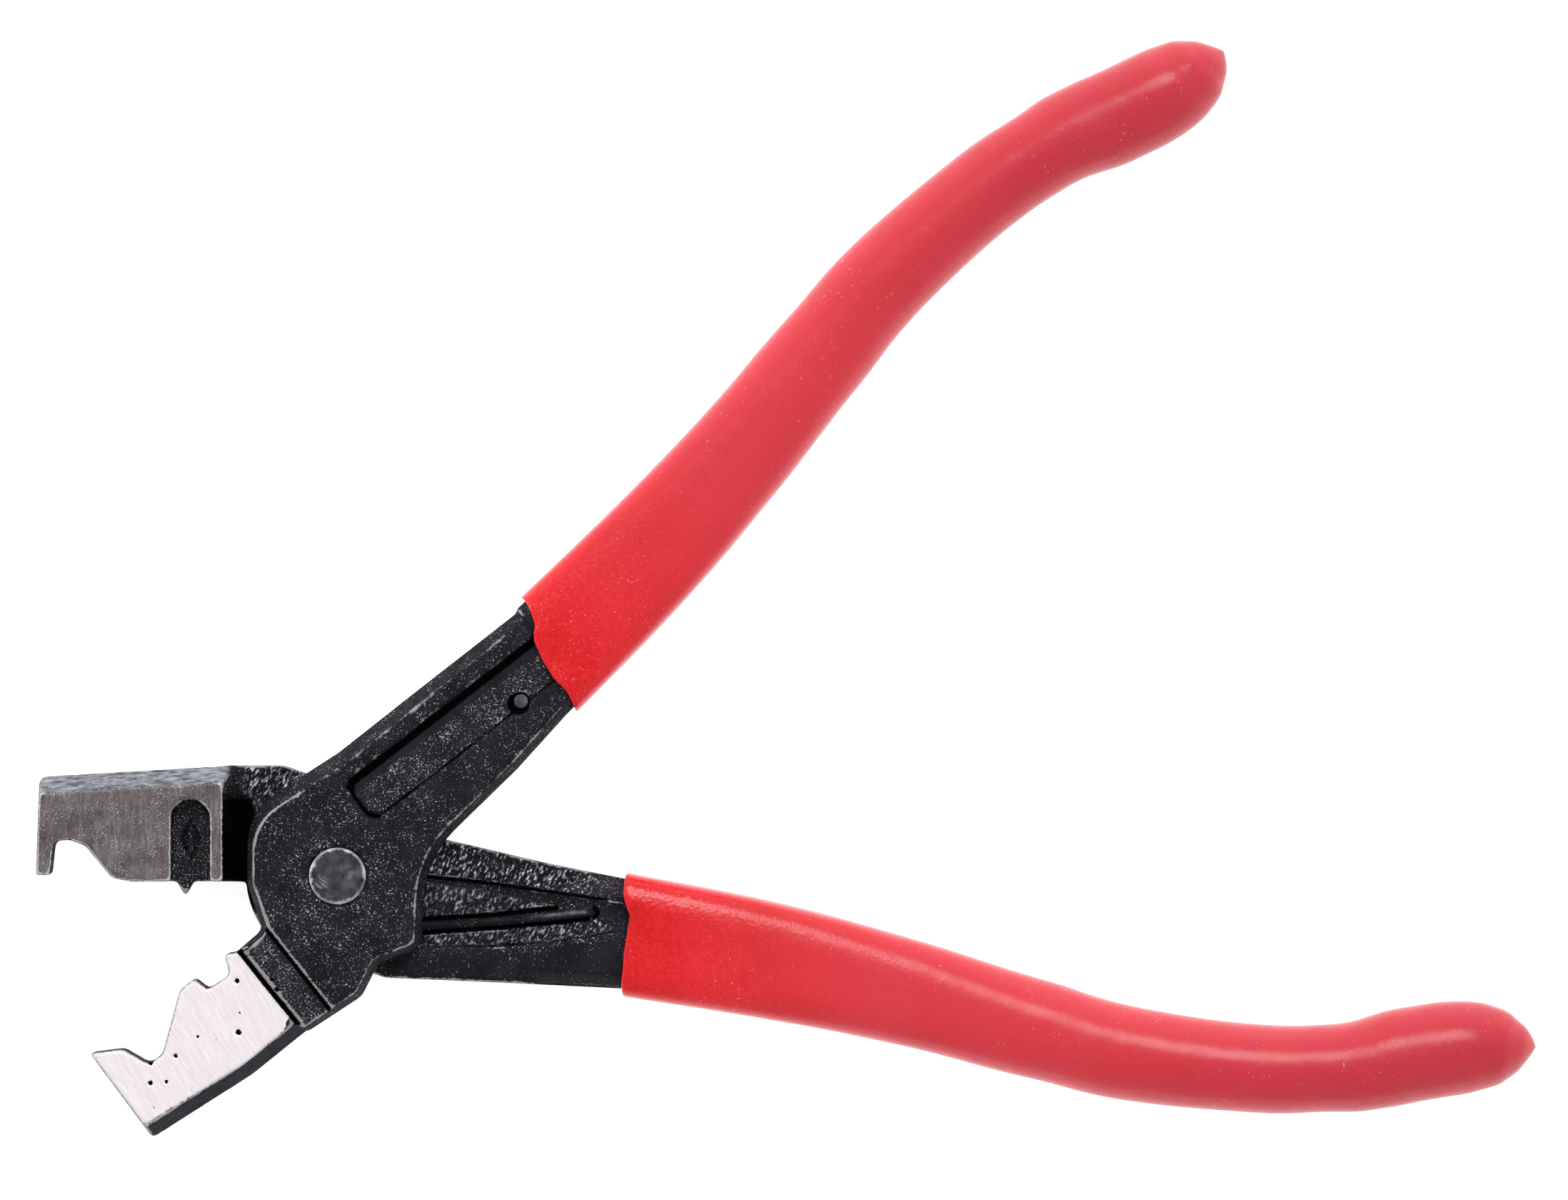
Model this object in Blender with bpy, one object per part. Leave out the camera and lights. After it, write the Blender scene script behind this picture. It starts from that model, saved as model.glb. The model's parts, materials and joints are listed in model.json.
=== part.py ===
"""Hose clamp pliers: two drop forged levers that cross in a lap joint, held by one solid rivet.

The pliers lie flat. The origin is on the rivet's axis, in the plane they rest on. +X runs to the
handles, +Y across them, +Z up. The front lever, upper handle and lower jaw, lies over the rear one.
"""

import math
from collections import namedtuple

import bmesh
import bpy

MM = 0.001  # every size below is in millimetres

# Lap joint and rivet
HUB_THICKNESS = 5.85
LAP_CLEARANCE = 0.30
HEAD_PROUD = 0.50
LAP_LAND = 1.2
HUB_RADIUS = 13.0
HUB_SWING_CLEARANCE = 0.50
RIVET_RADIUS = 3.0
RIVET_HEAD_RADIUS = 3.9
RIVET_HEAD_CHAMFER = 0.35
RIVET_SEAT_DEPTH = 0.75
RIVET_CLEARANCE = 0.05
SEAT_CLEARANCE = 0.20

# Jaws
JAW_THICKNESS = 9.4
UPPER_JAW_REACH = 42.4
UPPER_JAW_FACE = -0.8
UPPER_JAW_NECK = -14.4
UPPER_JAW_DRAFT = 2.3
NECK_DRAFT = 1.7
LOWER_JAW_DRAFT = 1.9
SLOT_CENTRE = (-20.6, 7.9)
SLOT_RADIUS = 2.7
SLOT_WEB = 4.2
PIP_LENGTH = 4.3
PIP_WIDTH = 2.2
PIP_HEIGHT = 0.5
SPUR_WIDTH = 2.4
SPUR_DROP = 1.8

# Shanks
SHANK_END = 47.0
SHANK_TAPER_START = 16.0
SHANK_TAPER = 0.033
SHANK_OUTER_INSET = 0.7
SHANK_INNER_INSET = 0.05
OUTER_DRAFT = 1.8
INNER_DRAFT = 1.3
HUB_DRAFT = 0.9
PANEL_START = 9.0
PANEL_DEPTH = 0.6
STRIP_STEP = 0.6
LAP_STEP = 0.45
SHOULDER_START = 24.0
SHOULDER_FULL = 38.0
SHOULDER_HEIGHT = 4.4
SHOULDER_BEVEL = 1.6
SHOULDER_OVERLAP = 2.2
LAP_PANEL_START = 11.0
LAP_PANEL_INNER = -1.6
RIB_START = 11.6
RIB_END = 35.6
RIB_WIDTH = 1.6
RIB_HEIGHT = 0.6
PIN_RADIUS = 1.15
PIN_CHAMFER = 0.2
PIN_PROUD = 0.75
PIN_DEPTH = 4.0
PIN_PLACE = (35.4, 0.5)

# Handles and their dipped grips, along each handle's own axis
FRONT_ANGLE = 42.8
REAR_ANGLE = -8.0
GRIP_START = 40.0
FRONT_MOUTH = 42.5
REAR_MOUTH = 40.7
MOUTH_FADE = 25.0
GRIP_TIP = 169.4
GRIP_TIP_OFFSET = 0.45
GRIP_MOUTH_WALL = 0.65
GRIP_END_WALL = 1.9
GRIP_TIP_WALL = 10.4
GRIP_CLEARANCE = 0.2
TANG_ROOT = 3.5
TANG_END_CLEARANCE = 0.5
RING_POINTS = 24
ARC_STEPS = 6
CUT_BEYOND = 3.0  # how far a cut runs on past the surface it opens

LAP_HEIGHT = HEAD_PROUD + HUB_THICKNESS + LAP_CLEARANCE / 2
FACE = HUB_THICKNESS + LAP_CLEARANCE / 2
LAP = LAP_CLEARANCE / 2
OVERALL_THICKNESS = 2 * LAP_HEIGHT
CAVITY_END = GRIP_TIP - GRIP_TIP_WALL
TANG_START = SHANK_END - TANG_ROOT
TANG_END = CAVITY_END - TANG_END_CLEARANCE

# A corner of an outline: its place, its rounding and how far the edge after it drafts inwards
Corner = namedtuple("Corner", "x y radius draft", defaults=(0.0, 0.0))
# A lever: its handle's angle, the side its handle bows to, and the way from the lap to its own face
Lever = namedtuple("Lever", "angle outward layer mouth mouth_slant")
# A cross section of a grip: its share of the way from the grip's start to its tip, offset, width,
# how much thinner than the whole, and the power of its rounding, from 2 for an ellipse upwards
Station = namedtuple("Station", "share offset width thinner power")

FRONT = Lever(FRONT_ANGLE, 1, 1, FRONT_MOUTH, 0.30)
REAR = Lever(REAR_ANGLE, -1, -1, REAR_MOUTH, 0.12)

GRIP_STATIONS = (
    Station(0.0, 2.55, 17.3, 0.0, 5.0),
    Station(0.155, 3.3, 16.4, 0.1, 4.2),
    Station(0.31, 5.0, 15.0, 0.2, 3.1),
    Station(0.464, 7.7, 13.9, 0.3, 2.35),
    Station(0.603, 9.35, 12.9, 0.4, 2.15),
    Station(0.695, 8.95, 12.4, 0.4, 2.1),
    Station(0.773, 7.6, 12.4, 0.3, 2.1),
    Station(0.85, 4.7, 14.1, 0.0, 2.1),
    Station(0.912, 2.35, 13.5, 0.1, 2.1),
    Station(0.951, 1.5, 11.6, 1.7, 2.0),
    Station(0.978, 1.1, 7.8, 5.2, 2.0),
    Station(0.994, 0.6, 3.2, 9.8, 2.0),
)
SLIM_SHARE = 0.773  # where the grip is slimmest, before the swell at its end
END_SHARES = (0.804, 0.835, 0.866, 0.897, 0.927, 0.951, 0.970, 0.984, 0.993)


# ---------------------------------------------------------------- outlines


def at(lever, along, offset):
    """The point this far along a handle's axis and this far to its outer side."""
    angle = math.radians(lever.angle)
    side = lever.outward * offset
    return (
        along * math.cos(angle) - side * math.sin(angle),
        along * math.sin(angle) + side * math.cos(angle),
    )


def shank_corner(lever, along, offset, radius, draft):
    return Corner(*at(lever, along, offset), radius, draft)


def arc_corners(radius, start, end, steps, draft):
    """Corners along an arc about the rivet, from one angle to another."""
    angles = [math.radians(start + (end - start) * i / steps) for i in range(steps + 1)]
    return [Corner(radius * math.cos(a), radius * math.sin(a), 0.0, draft) for a in angles]


def turned_left(corners):
    """The corners in anticlockwise order, each edge keeping its own draft."""
    area = sum(a.x * b.y - b.x * a.y for a, b in zip(corners, corners[1:] + corners[:1]))
    if area > 0:
        return list(corners)
    back = list(corners)[::-1]
    drafts = [c.draft for c in back[1:] + back[:1]]
    return [c._replace(draft=d) for c, d in zip(back, drafts)]


def drafted(corners, share):
    """Each edge moved inwards by its own draft, with the corners where the moved edges meet."""
    moved = []
    for i, corner in enumerate(corners):
        before, after = corners[i - 1], corners[(i + 1) % len(corners)]
        ax, ay = corner.x - before.x, corner.y - before.y
        bx, by = after.x - corner.x, after.y - corner.y
        a_length, b_length = math.hypot(ax, ay), math.hypot(bx, by)
        ax, ay, bx, by = ax / a_length, ay / a_length, bx / b_length, by / b_length
        a_draft, b_draft = before.draft * share, corner.draft * share
        turn = ax * by - ay * bx
        if abs(turn) < 0.08:
            mean = (a_draft + b_draft) / 2
            dx, dy = -ay * mean, ax * mean
        else:
            dx = (bx * a_draft - ax * b_draft) / turn
            dy = (by * a_draft - ay * b_draft) / turn
        sign = 1 if turn > 0 else -1
        radius = corner.radius and max(
            corner.radius - sign * (a_draft + b_draft) / 2, 0.15 * corner.radius
        )
        moved.append(Corner(corner.x + dx, corner.y + dy, radius))
    return moved


def rounded(corners):
    """The outline's points, with an arc at each corner that has a radius."""
    points = []
    for i, corner in enumerate(corners):
        if not corner.radius:
            points.append((corner.x, corner.y))
            continue
        before, after = corners[i - 1], corners[(i + 1) % len(corners)]
        ax, ay = before.x - corner.x, before.y - corner.y
        bx, by = after.x - corner.x, after.y - corner.y
        a_length, b_length = math.hypot(ax, ay), math.hypot(bx, by)
        ax, ay, bx, by = ax / a_length, ay / a_length, bx / b_length, by / b_length
        half = math.acos(max(-1.0, min(1.0, ax * bx + ay * by))) / 2
        reach = min(corner.radius / math.tan(half), 0.48 * a_length, 0.48 * b_length)
        radius = reach * math.tan(half)
        mx, my = ax + bx, ay + by
        m_length = math.hypot(mx, my)
        cx = corner.x + mx / m_length * radius / math.sin(half)
        cy = corner.y + my / m_length * radius / math.sin(half)
        start = math.atan2(corner.y + ay * reach - cy, corner.x + ax * reach - cx)
        end = math.atan2(corner.y + by * reach - cy, corner.x + bx * reach - cx)
        sweep = (end - start + math.pi) % (2 * math.pi) - math.pi
        for step in range(ARC_STEPS + 1):
            angle = start + sweep * step / ARC_STEPS
            points.append((cx + radius * math.cos(angle), cy + radius * math.sin(angle)))
    return points


def outline(corners, share=0.0):
    return rounded(drafted(turned_left(corners), share))


# ---------------------------------------------------------------- solids


def solid(name, points, faces):
    """A mesh object from points in millimetres, its faces turned outwards."""
    mesh = bpy.data.meshes.new(name)
    mesh.from_pydata([tuple(MM * c for c in p) for p in points], [], faces)
    shape = bmesh.new()
    shape.from_mesh(mesh)
    bmesh.ops.recalc_face_normals(shape, faces=shape.faces)
    if shape.calc_volume(signed=True) < 0:
        bmesh.ops.reverse_faces(shape, faces=shape.faces)
    shape.to_mesh(mesh)
    shape.free()
    mesh.shade_smooth()
    mesh.set_sharp_from_angle(angle=math.radians(30))
    made = bpy.data.objects.new(name, mesh)
    bpy.context.scene.collection.objects.link(made)
    return made


def lofted(name, rings):
    """A solid through rings of equal count, closed by a face at each end."""
    count = len(rings[0])
    points = [p for ring in rings for p in ring]
    faces = [tuple(range(count))[::-1]]
    for k in range(len(rings) - 1):
        for i in range(count):
            j = (i + 1) % count
            low, high = k * count, (k + 1) * count
            faces.append((low + i, low + j, high + j, high + i))
    faces.append(tuple(range(len(points) - count, len(points))))
    return solid(name, points, faces)


def stacked(name, levels):
    """A solid through outlines at rising heights. A height may also follow the point."""
    rings = []
    for height, points in levels:
        rings.append([(x, y, height(x, y) if callable(height) else height) for x, y in points])
    return lofted(name, rings)


def turned(name, profile, centre=(0.0, 0.0), count=64):
    """A solid turned about an upright axis from (radius, height) pairs."""
    angles = [2 * math.pi * i / count for i in range(count)]
    rings = []
    for radius, height in profile:
        rings.append(
            [(centre[0] + radius * math.cos(a), centre[1] + radius * math.sin(a), height)
             for a in angles]
        )
    return lofted(name, rings)


def combine(target, helper, operation):
    """A Boolean with a helper solid, which stays in the file as a wire and isn't drawn."""
    step = target.modifiers.new(helper.name, "BOOLEAN")
    step.operation = operation
    step.solver = "EXACT"
    step.object = helper
    helper.hide_render = True
    helper.display_type = "WIRE"


def material(name, colour, roughness, metallic):
    made = bpy.data.materials.new(name)
    made.use_nodes = True
    shader = made.node_tree.nodes["Principled BSDF"]
    shader.inputs["Base Color"].default_value = (*colour, 1.0)
    shader.inputs["Roughness"].default_value = roughness
    shader.inputs["Metallic"].default_value = metallic
    return made


# ---------------------------------------------------------------- shared lever features


def height_of(lever, rise):
    """The height of a level measured from the lap plane towards the lever's own face."""
    return LAP_HEIGHT + lever.layer * rise


def face_rise(along):
    """How far the shank's own face stands from the lap plane, tapering towards the grip."""
    return FACE - (along - SHANK_TAPER_START) * SHANK_TAPER


def ring_at(lever, along, section):
    """A cross section of the shank, given as (offset, rise) pairs, set in place."""
    return [(*at(lever, along, offset), height_of(lever, rise)) for offset, rise in section]


def plate(name, lever, corners):
    """The flat half of a lever that laps over the other, drafted towards its own face."""
    straight = LAP + LAP_LAND
    levels = [(LAP, 0.0), (straight, 0.0), (FACE, 1.0)]
    return stacked(name, [(height_of(lever, r), outline(corners, s)) for r, s in levels])


def taper_cut(name, lever):
    """Thins the shank evenly from the hub to the grip."""
    rings = []
    for along in (SHANK_TAPER_START - 2 * CUT_BEYOND, SHANK_END + CUT_BEYOND):
        low, high = face_rise(along), FACE + CUT_BEYOND
        rings.append(ring_at(lever, along, [(-14, low), (20, low), (20, high), (-14, high)]))
    return lofted(name, rings)


def outer_panel_cut(name, lever):
    """The sunk panel along the lever's own face, which runs on under the grip."""
    near, far = PANEL_START, SHANK_END + CUT_BEYOND
    corners = [
        Corner(*at(lever, near - 0.3, 2.0), 1.3),
        Corner(*at(lever, far, -1.5), 0.0),
        Corner(*at(lever, far, 5.2), 0.0),
        Corner(*at(lever, near + 0.3, 8.8), 1.6),
    ]
    points = outline(corners)
    angle = math.radians(lever.angle)

    def floor(x, y):
        along = x * math.cos(angle) + y * math.sin(angle)
        return height_of(lever, min(face_rise(along), FACE) - PANEL_DEPTH)

    return stacked(name, [(floor, points), (height_of(lever, FACE + CUT_BEYOND), points)])


def lap_rise(along):
    """The level of the shank's lap side: flat at the hub, then climbing past the lap plane."""
    share = (along - SHOULDER_START) / (SHOULDER_FULL - SHOULDER_START)
    level = LAP + LAP_STEP
    return level - max(0.0, min(1.0, share)) * (SHOULDER_HEIGHT + level)


def shoulder(name, lever):
    """Brings the shank to its full thickness past the lap, with a slope towards the other lever."""
    stations = (
        (SHOULDER_START, -1.9, 11.2),
        (SHOULDER_FULL - 2, -4.9, 10.3),
        (SHOULDER_FULL, -5.0, 10.1),
        (SHANK_END - 0.5, -4.7, 9.5),
    )
    rings = []
    for along, inner, outer in stations:
        top = lap_rise(along)
        section = [
            (inner, SHOULDER_OVERLAP),
            (inner, max(0.1, top)),
            (LAP_PANEL_INNER - 0.1, top),
            (outer - SHOULDER_BEVEL, top),
            (outer, top + 0.8 * SHOULDER_BEVEL),
            (outer, SHOULDER_OVERLAP),
        ]
        rings.append(ring_at(lever, along, section))
    return lofted(name, rings)


def lap_panel_cut(name, lever):
    """The sunk panel on the shank's lap side."""
    inner, below = LAP_PANEL_INNER, -FACE - CUT_BEYOND
    stations = (
        (LAP_PANEL_START, 8.2),
        (SHOULDER_START + 1, 6.5),
        (SHOULDER_FULL, 2.5),
        (SHANK_END + 1, 1.5),
    )
    rings = []
    for along, outer in stations:
        floor = min(LAP, lap_rise(along)) + PANEL_DEPTH
        section = [(inner, floor), (outer, floor), (outer, below), (inner, below)]
        rings.append(ring_at(lever, along, section))
    return lofted(name, rings)


def rib(name, lever):
    """The smooth rib that stands in the lap side's panel."""
    stations = (
        (RIB_START, 5.5, 1.0),
        (SHOULDER_START + 1, 2.7, 1.0),
        (RIB_END - RIB_WIDTH, 0.7, 1.0),
        (RIB_END, 0.4, 0.45),
    )
    rings = []
    for along, middle, share in stations:
        floor = min(LAP, lap_rise(along)) + PANEL_DEPTH
        half = RIB_WIDTH / 2 * share
        top = floor - RIB_HEIGHT * share
        section = [
            (middle - half, floor + 0.4),
            (middle - half, floor),
            (middle - 0.6 * half, top),
            (middle + 0.6 * half, top),
            (middle + half, floor),
            (middle + half, floor + 0.4),
        ]
        rings.append(ring_at(lever, along, section))
    return lofted(name, rings)


def rivet_cuts(target, lever, name):
    """The bore through a hub, and the shallow seat for the rivet's head."""
    bore = RIVET_RADIUS + RIVET_CLEARANCE
    low, high = height_of(lever, -CUT_BEYOND), height_of(lever, FACE + CUT_BEYOND)
    combine(target, turned(name + " bore", sorted_levels(bore, low, high)), "DIFFERENCE")
    seat = RIVET_HEAD_RADIUS + SEAT_CLEARANCE
    floor = height_of(lever, FACE - RIVET_SEAT_DEPTH)
    combine(target, turned(name + " seat", sorted_levels(seat, floor, high)), "DIFFERENCE")


def sorted_levels(radius, one, other):
    return [(radius, min(one, other)), (radius, max(one, other))]


def jaw(name, corners):
    """A jaw of full thickness, drafted from its middle towards both faces."""
    middle, half = LAP_HEIGHT, JAW_THICKNESS / 2
    face = outline(corners, 1.0)
    return stacked(name, [(middle - half, face), (middle, outline(corners)), (middle + half, face)])


# ---------------------------------------------------------------- the rear lever


def rear_plate_corners():
    """Hub, neck and shank of the lever that carries the upper jaw."""
    inner, outer = shank_end_edges()
    return [
        Corner(UPPER_JAW_NECK - 6, UPPER_JAW_FACE, 0.0, 0.0),
        *arc_corners(HUB_RADIUS, 184.0, 280.0, 15, HUB_DRAFT),
        Corner(6.5, -14.35, 3.0, HUB_DRAFT),
        shank_corner(REAR, 23.9, 11.8, 0.0, OUTER_DRAFT),
        shank_corner(REAR, SHANK_END, outer, 0.0, 0.0),
        shank_corner(REAR, SHANK_END, inner, 0.0, INNER_DRAFT),
        shank_corner(REAR, 38.5, -5.2, 0.0, INNER_DRAFT),
        shank_corner(REAR, 29.5, -5.7, 0.0, INNER_DRAFT),
        Corner(14.2, 5.2, 3.0, HUB_DRAFT),
        Corner(11.5, 8.6, 6.0, HUB_DRAFT),
        Corner(-7.6, 15.4, 3.0, UPPER_JAW_DRAFT),
        Corner(UPPER_JAW_NECK - 1.5, 15.4, 0.0, 0.0),
        Corner(UPPER_JAW_NECK - 6, 10.0, 0.0, 0.0),
    ]


def upper_jaw_corners():
    """A flat gripping edge with a hooked notch behind the tip."""
    tip = -UPPER_JAW_REACH
    return [
        Corner(tip, 0.05, 0.3, 0.0),
        Corner(tip + 2.2, 0.1, 0.3, 0.0),
        Corner(tip + 2.7, 4.85, 0.9, 0.0),
        Corner(tip + 5.0, 5.0, 0.9, 0.0),
        Corner(tip + 7.1, 4.2, 0.7, 0.0),
        Corner(tip + 10.8, -0.3, 1.6, 0.0),
        Corner(tip + 13.4, UPPER_JAW_FACE, 1.0, 0.0),
        Corner(UPPER_JAW_NECK, UPPER_JAW_FACE, 0.0, NECK_DRAFT),
        Corner(UPPER_JAW_NECK, 15.5, 1.2, UPPER_JAW_DRAFT),
        Corner(tip + 0.5, 13.9, 1.2, 0.2),
    ]


def slot_cut(name, side):
    """The round ended slot in a face of the upper jaw, open at the gripping edge."""
    x, y = SLOT_CENTRE
    angles = [math.radians(180 - 15 * i) for i in range(13)]
    arc = [(x + SLOT_RADIUS * math.cos(a), y + SLOT_RADIUS * math.sin(a)) for a in angles]
    points = [(x - SLOT_RADIUS, UPPER_JAW_FACE - 2), *arc, (x + SLOT_RADIUS, UPPER_JAW_FACE - 2)]
    web, out = LAP_HEIGHT + side * SLOT_WEB / 2, LAP_HEIGHT + side * JAW_THICKNESS
    return stacked(name, sorted([(web, points), (out, points)], key=lambda level: level[0]))


def pip(name):
    """A raised drop shape on the slot's floor."""
    x, y = SLOT_CENTRE[0], SLOT_CENTRE[1] - 2.4
    half_width, half_length = PIP_WIDTH / 2, PIP_LENGTH / 2
    points = []
    for i in range(20):
        angle = 2 * math.pi * i / 20
        narrowing = 0.5 * (1 - math.sin(angle)) + 0.12
        points.append((x + half_width * math.cos(angle) * narrowing, y + half_length * math.sin(angle)))
    top = [(x + (px - x) * 0.7, y + (py - y) * 0.8) for px, py in points]
    base = LAP_HEIGHT + SLOT_WEB / 2
    return stacked(name, [(base - 0.5, points), (base, points), (base + PIP_HEIGHT, top)])


def spur(name):
    """The small tooth under the slot's web, which locates the clamp's latch."""
    x, half = SLOT_CENTRE[0] - 0.8, SPUR_WIDTH / 2
    y = UPPER_JAW_FACE
    points = [(x - half, y + 1.0), (x - half, y), (x - 0.2, y - SPUR_DROP), (x + 0.2, y - SPUR_DROP),
              (x + half, y), (x + half, y + 1.0)]
    reach = SLOT_WEB / 2 - 0.2
    return stacked(name, [(LAP_HEIGHT - reach, points), (LAP_HEIGHT + reach, points)])


def make_rear_lever():
    body = plate("rear_lever", REAR, rear_plate_corners())
    combine(body, jaw("upper jaw", upper_jaw_corners()), "UNION")
    combine(body, shoulder("rear shoulder", REAR), "UNION")
    combine(body, taper_cut("rear taper", REAR), "DIFFERENCE")
    combine(body, outer_panel_cut("rear outer panel", REAR), "DIFFERENCE")
    combine(body, lap_panel_cut("rear lap panel", REAR), "DIFFERENCE")
    combine(body, rib("rear rib", REAR), "UNION")
    combine(body, tang("rear tang", REAR), "UNION")
    for side, word in ((1, "front"), (-1, "back")):
        combine(body, slot_cut(f"{word} slot", side), "DIFFERENCE")
    combine(body, pip("slot pip"), "UNION")
    combine(body, spur("slot spur"), "UNION")
    rivet_cuts(body, REAR, "rear")
    return body


# ---------------------------------------------------------------- the front lever


def front_plate_corners():
    """Hub and shank of the lever that carries the lower jaw."""
    inner, outer = shank_end_edges()
    return [
        shank_corner(FRONT, SHANK_END, inner, 0.0, 0.0),
        shank_corner(FRONT, SHANK_END, outer, 0.0, OUTER_DRAFT),
        shank_corner(FRONT, 24.3, 11.6, 0.0, OUTER_DRAFT),
        shank_corner(FRONT, 11.7, 12.6, 0.0, OUTER_DRAFT),
        Corner(-12.75, 9.0, 13.0, HUB_DRAFT),
        Corner(-12.75, -1.2, 4.0, HUB_DRAFT),
        Corner(-10.6, -7.5, 1.3, HUB_DRAFT),
        Corner(-14.3, -10.7, 0.0, 0.8),
        Corner(-6.0, -21.2, 0.8, 0.5),
        Corner(-4.2, -21.8, 0.6, HUB_DRAFT),
        Corner(3.3, -16.9, 3.0, HUB_DRAFT),
        Corner(5.6, -12.3, 2.6, HUB_DRAFT),
        Corner(11.6, -10.1, 2.4, HUB_DRAFT),
        Corner(12.1, 2.3, 16.0, HUB_DRAFT),
        shank_corner(FRONT, 28.4, -6.1, 0.0, INNER_DRAFT),
        shank_corner(FRONT, 38.5, -5.2, 0.0, INNER_DRAFT),
    ]


def lower_jaw_corners():
    """A stepped gripping edge with a peak, a deep notch and a flat tip."""
    return [
        Corner(-34.9, -24.8, 0.3, 0.0),
        Corner(-30.0, -24.2, 1.5, 0.0),
        Corner(-26.4, -26.3, 1.3, 0.0),
        Corner(-24.5, -24.8, 1.0, 0.0),
        Corner(-22.1, -16.0, 1.0, 0.0),
        Corner(-20.1, -14.3, 0.5, 0.0),
        Corner(-18.2, -15.8, 0.5, 0.0),
        Corner(-15.1, -13.9, 0.9, 0.0),
        Corner(-15.9, -10.9, 0.5, 0.0),
        Corner(-14.3, -10.7, 0.0, 0.0),
        *arc_corners(HUB_RADIUS + HUB_SWING_CLEARANCE, 218.0, 251.0, 6, 0.0),
        Corner(-4.3, -21.7, 0.0, LOWER_JAW_DRAFT),
        Corner(-12.0, -27.9, 12.0, LOWER_JAW_DRAFT),
        Corner(-26.0, -36.8, 0.5, 0.2),
    ]


def strip_cut(name):
    """Lowers the hub's face a little, beyond a slanting line, where the jaw begins."""
    points = [(-10.9, -6.14), (-0.7, -19.0), (-0.7, -26.0), (-20.0, -26.0), (-20.0, -6.14)]
    low, high = height_of(FRONT, FACE - STRIP_STEP), height_of(FRONT, FACE + CUT_BEYOND)
    return stacked(name, [(low, points), (high, points)])


def pin_hole(name):
    centre = at(FRONT, *PIN_PLACE)
    floor = height_of(FRONT, FACE - PIN_DEPTH)
    high = height_of(FRONT, FACE + CUT_BEYOND)
    profile = sorted_levels(PIN_RADIUS + RIVET_CLEARANCE, floor, high)
    return turned(name, profile, centre, RING_POINTS)


def make_front_lever():
    body = plate("front_lever", FRONT, front_plate_corners())
    combine(body, jaw("lower jaw", lower_jaw_corners()), "UNION")
    combine(body, shoulder("front shoulder", FRONT), "UNION")
    combine(body, taper_cut("front taper", FRONT), "DIFFERENCE")
    combine(body, outer_panel_cut("front outer panel", FRONT), "DIFFERENCE")
    combine(body, lap_panel_cut("front lap panel", FRONT), "DIFFERENCE")
    combine(body, rib("front rib", FRONT), "UNION")
    combine(body, tang("front tang", FRONT), "UNION")
    combine(body, strip_cut("jaw strip"), "DIFFERENCE")
    combine(body, pin_hole("pin hole"), "DIFFERENCE")
    rivet_cuts(body, FRONT, "front")
    return body


# ---------------------------------------------------------------- grips and tangs


def station_at(along):
    """The grip's cross section at any distance, on a smooth curve through the stations."""
    stations = GRIP_STATIONS
    share = (along - GRIP_START) / (GRIP_TIP - GRIP_START)
    share = max(0.0, min(stations[-1].share, share))
    k = max(i for i in range(len(stations) - 1) if stations[i].share <= share)
    a, b = stations[k], stations[k + 1]
    before, after = stations[max(k - 1, 0)], stations[min(k + 2, len(stations) - 1)]
    span = b.share - a.share
    t = (share - a.share) / span
    values = []
    for p, q, r, s in zip(before[1:], a[1:], b[1:], after[1:]):
        leave = (r - p) / (b.share - before.share) * span
        arrive = (s - q) / (after.share - a.share) * span
        values.append(
            (2 * t**3 - 3 * t**2 + 1) * q + (t**3 - 2 * t**2 + t) * leave
            + (3 * t**2 - 2 * t**3) * r + (t**3 - t**2) * arrive
        )
    return Station(share, *values)


def wall_at(along):
    """The grip's wall, thin at its mouth and thicker towards the end."""
    share = (along - TANG_START) / (TANG_END - TANG_START)
    return GRIP_MOUTH_WALL + (GRIP_END_WALL - GRIP_MOUTH_WALL) * max(0.0, min(1.0, share))


def shank_end_edges():
    """The inner and outer offsets of the shank's end, where the grip covers it."""
    station = station_at(SHANK_END)
    half = station.width / 2 - wall_at(SHANK_END) - GRIP_CLEARANCE
    inner = station.offset - half + SHANK_INNER_INSET
    return inner, station.offset + half - SHANK_OUTER_INSET


def grip_ring(lever, along, inset, slant=0.0):
    """One rounded ring round a handle, this far inside the grip's outer surface."""
    station = station_at(along)
    half_width = station.width / 2 - inset
    half_height = (OVERALL_THICKNESS - max(station.thinner, 0.0)) / 2 - inset
    ring = []
    for i in range(RING_POINTS):
        angle = 2 * math.pi * i / RING_POINTS
        c, s = math.cos(angle), math.sin(angle)
        side = math.copysign(abs(c) ** (2 / station.power), c) * half_width
        rise = math.copysign(abs(s) ** (2 / station.power), s) * half_height
        ring.append((*at(lever, along + slant * side, station.offset + side), LAP_HEIGHT + rise))
    return ring


def evenly(start, end, count):
    return [start + (end - start) * i / (count - 1) for i in range(count)]


def inner_stations(start, end):
    """Where the cavity and the tang both have a cross section, so that their gap stays even."""
    shared = evenly(SHANK_END + TANG_ROOT, CAVITY_END - TANG_ROOT, 15)
    between = [along for along in shared if start + 1 < along < end - 1]
    return [start, *between, end]


def slant_at(lever, along):
    """How far the grip's rings lean over: as its mouth does, then less and less."""
    return lever.mouth_slant * max(0.0, 1 - (along - lever.mouth) / MOUTH_FADE)


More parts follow.
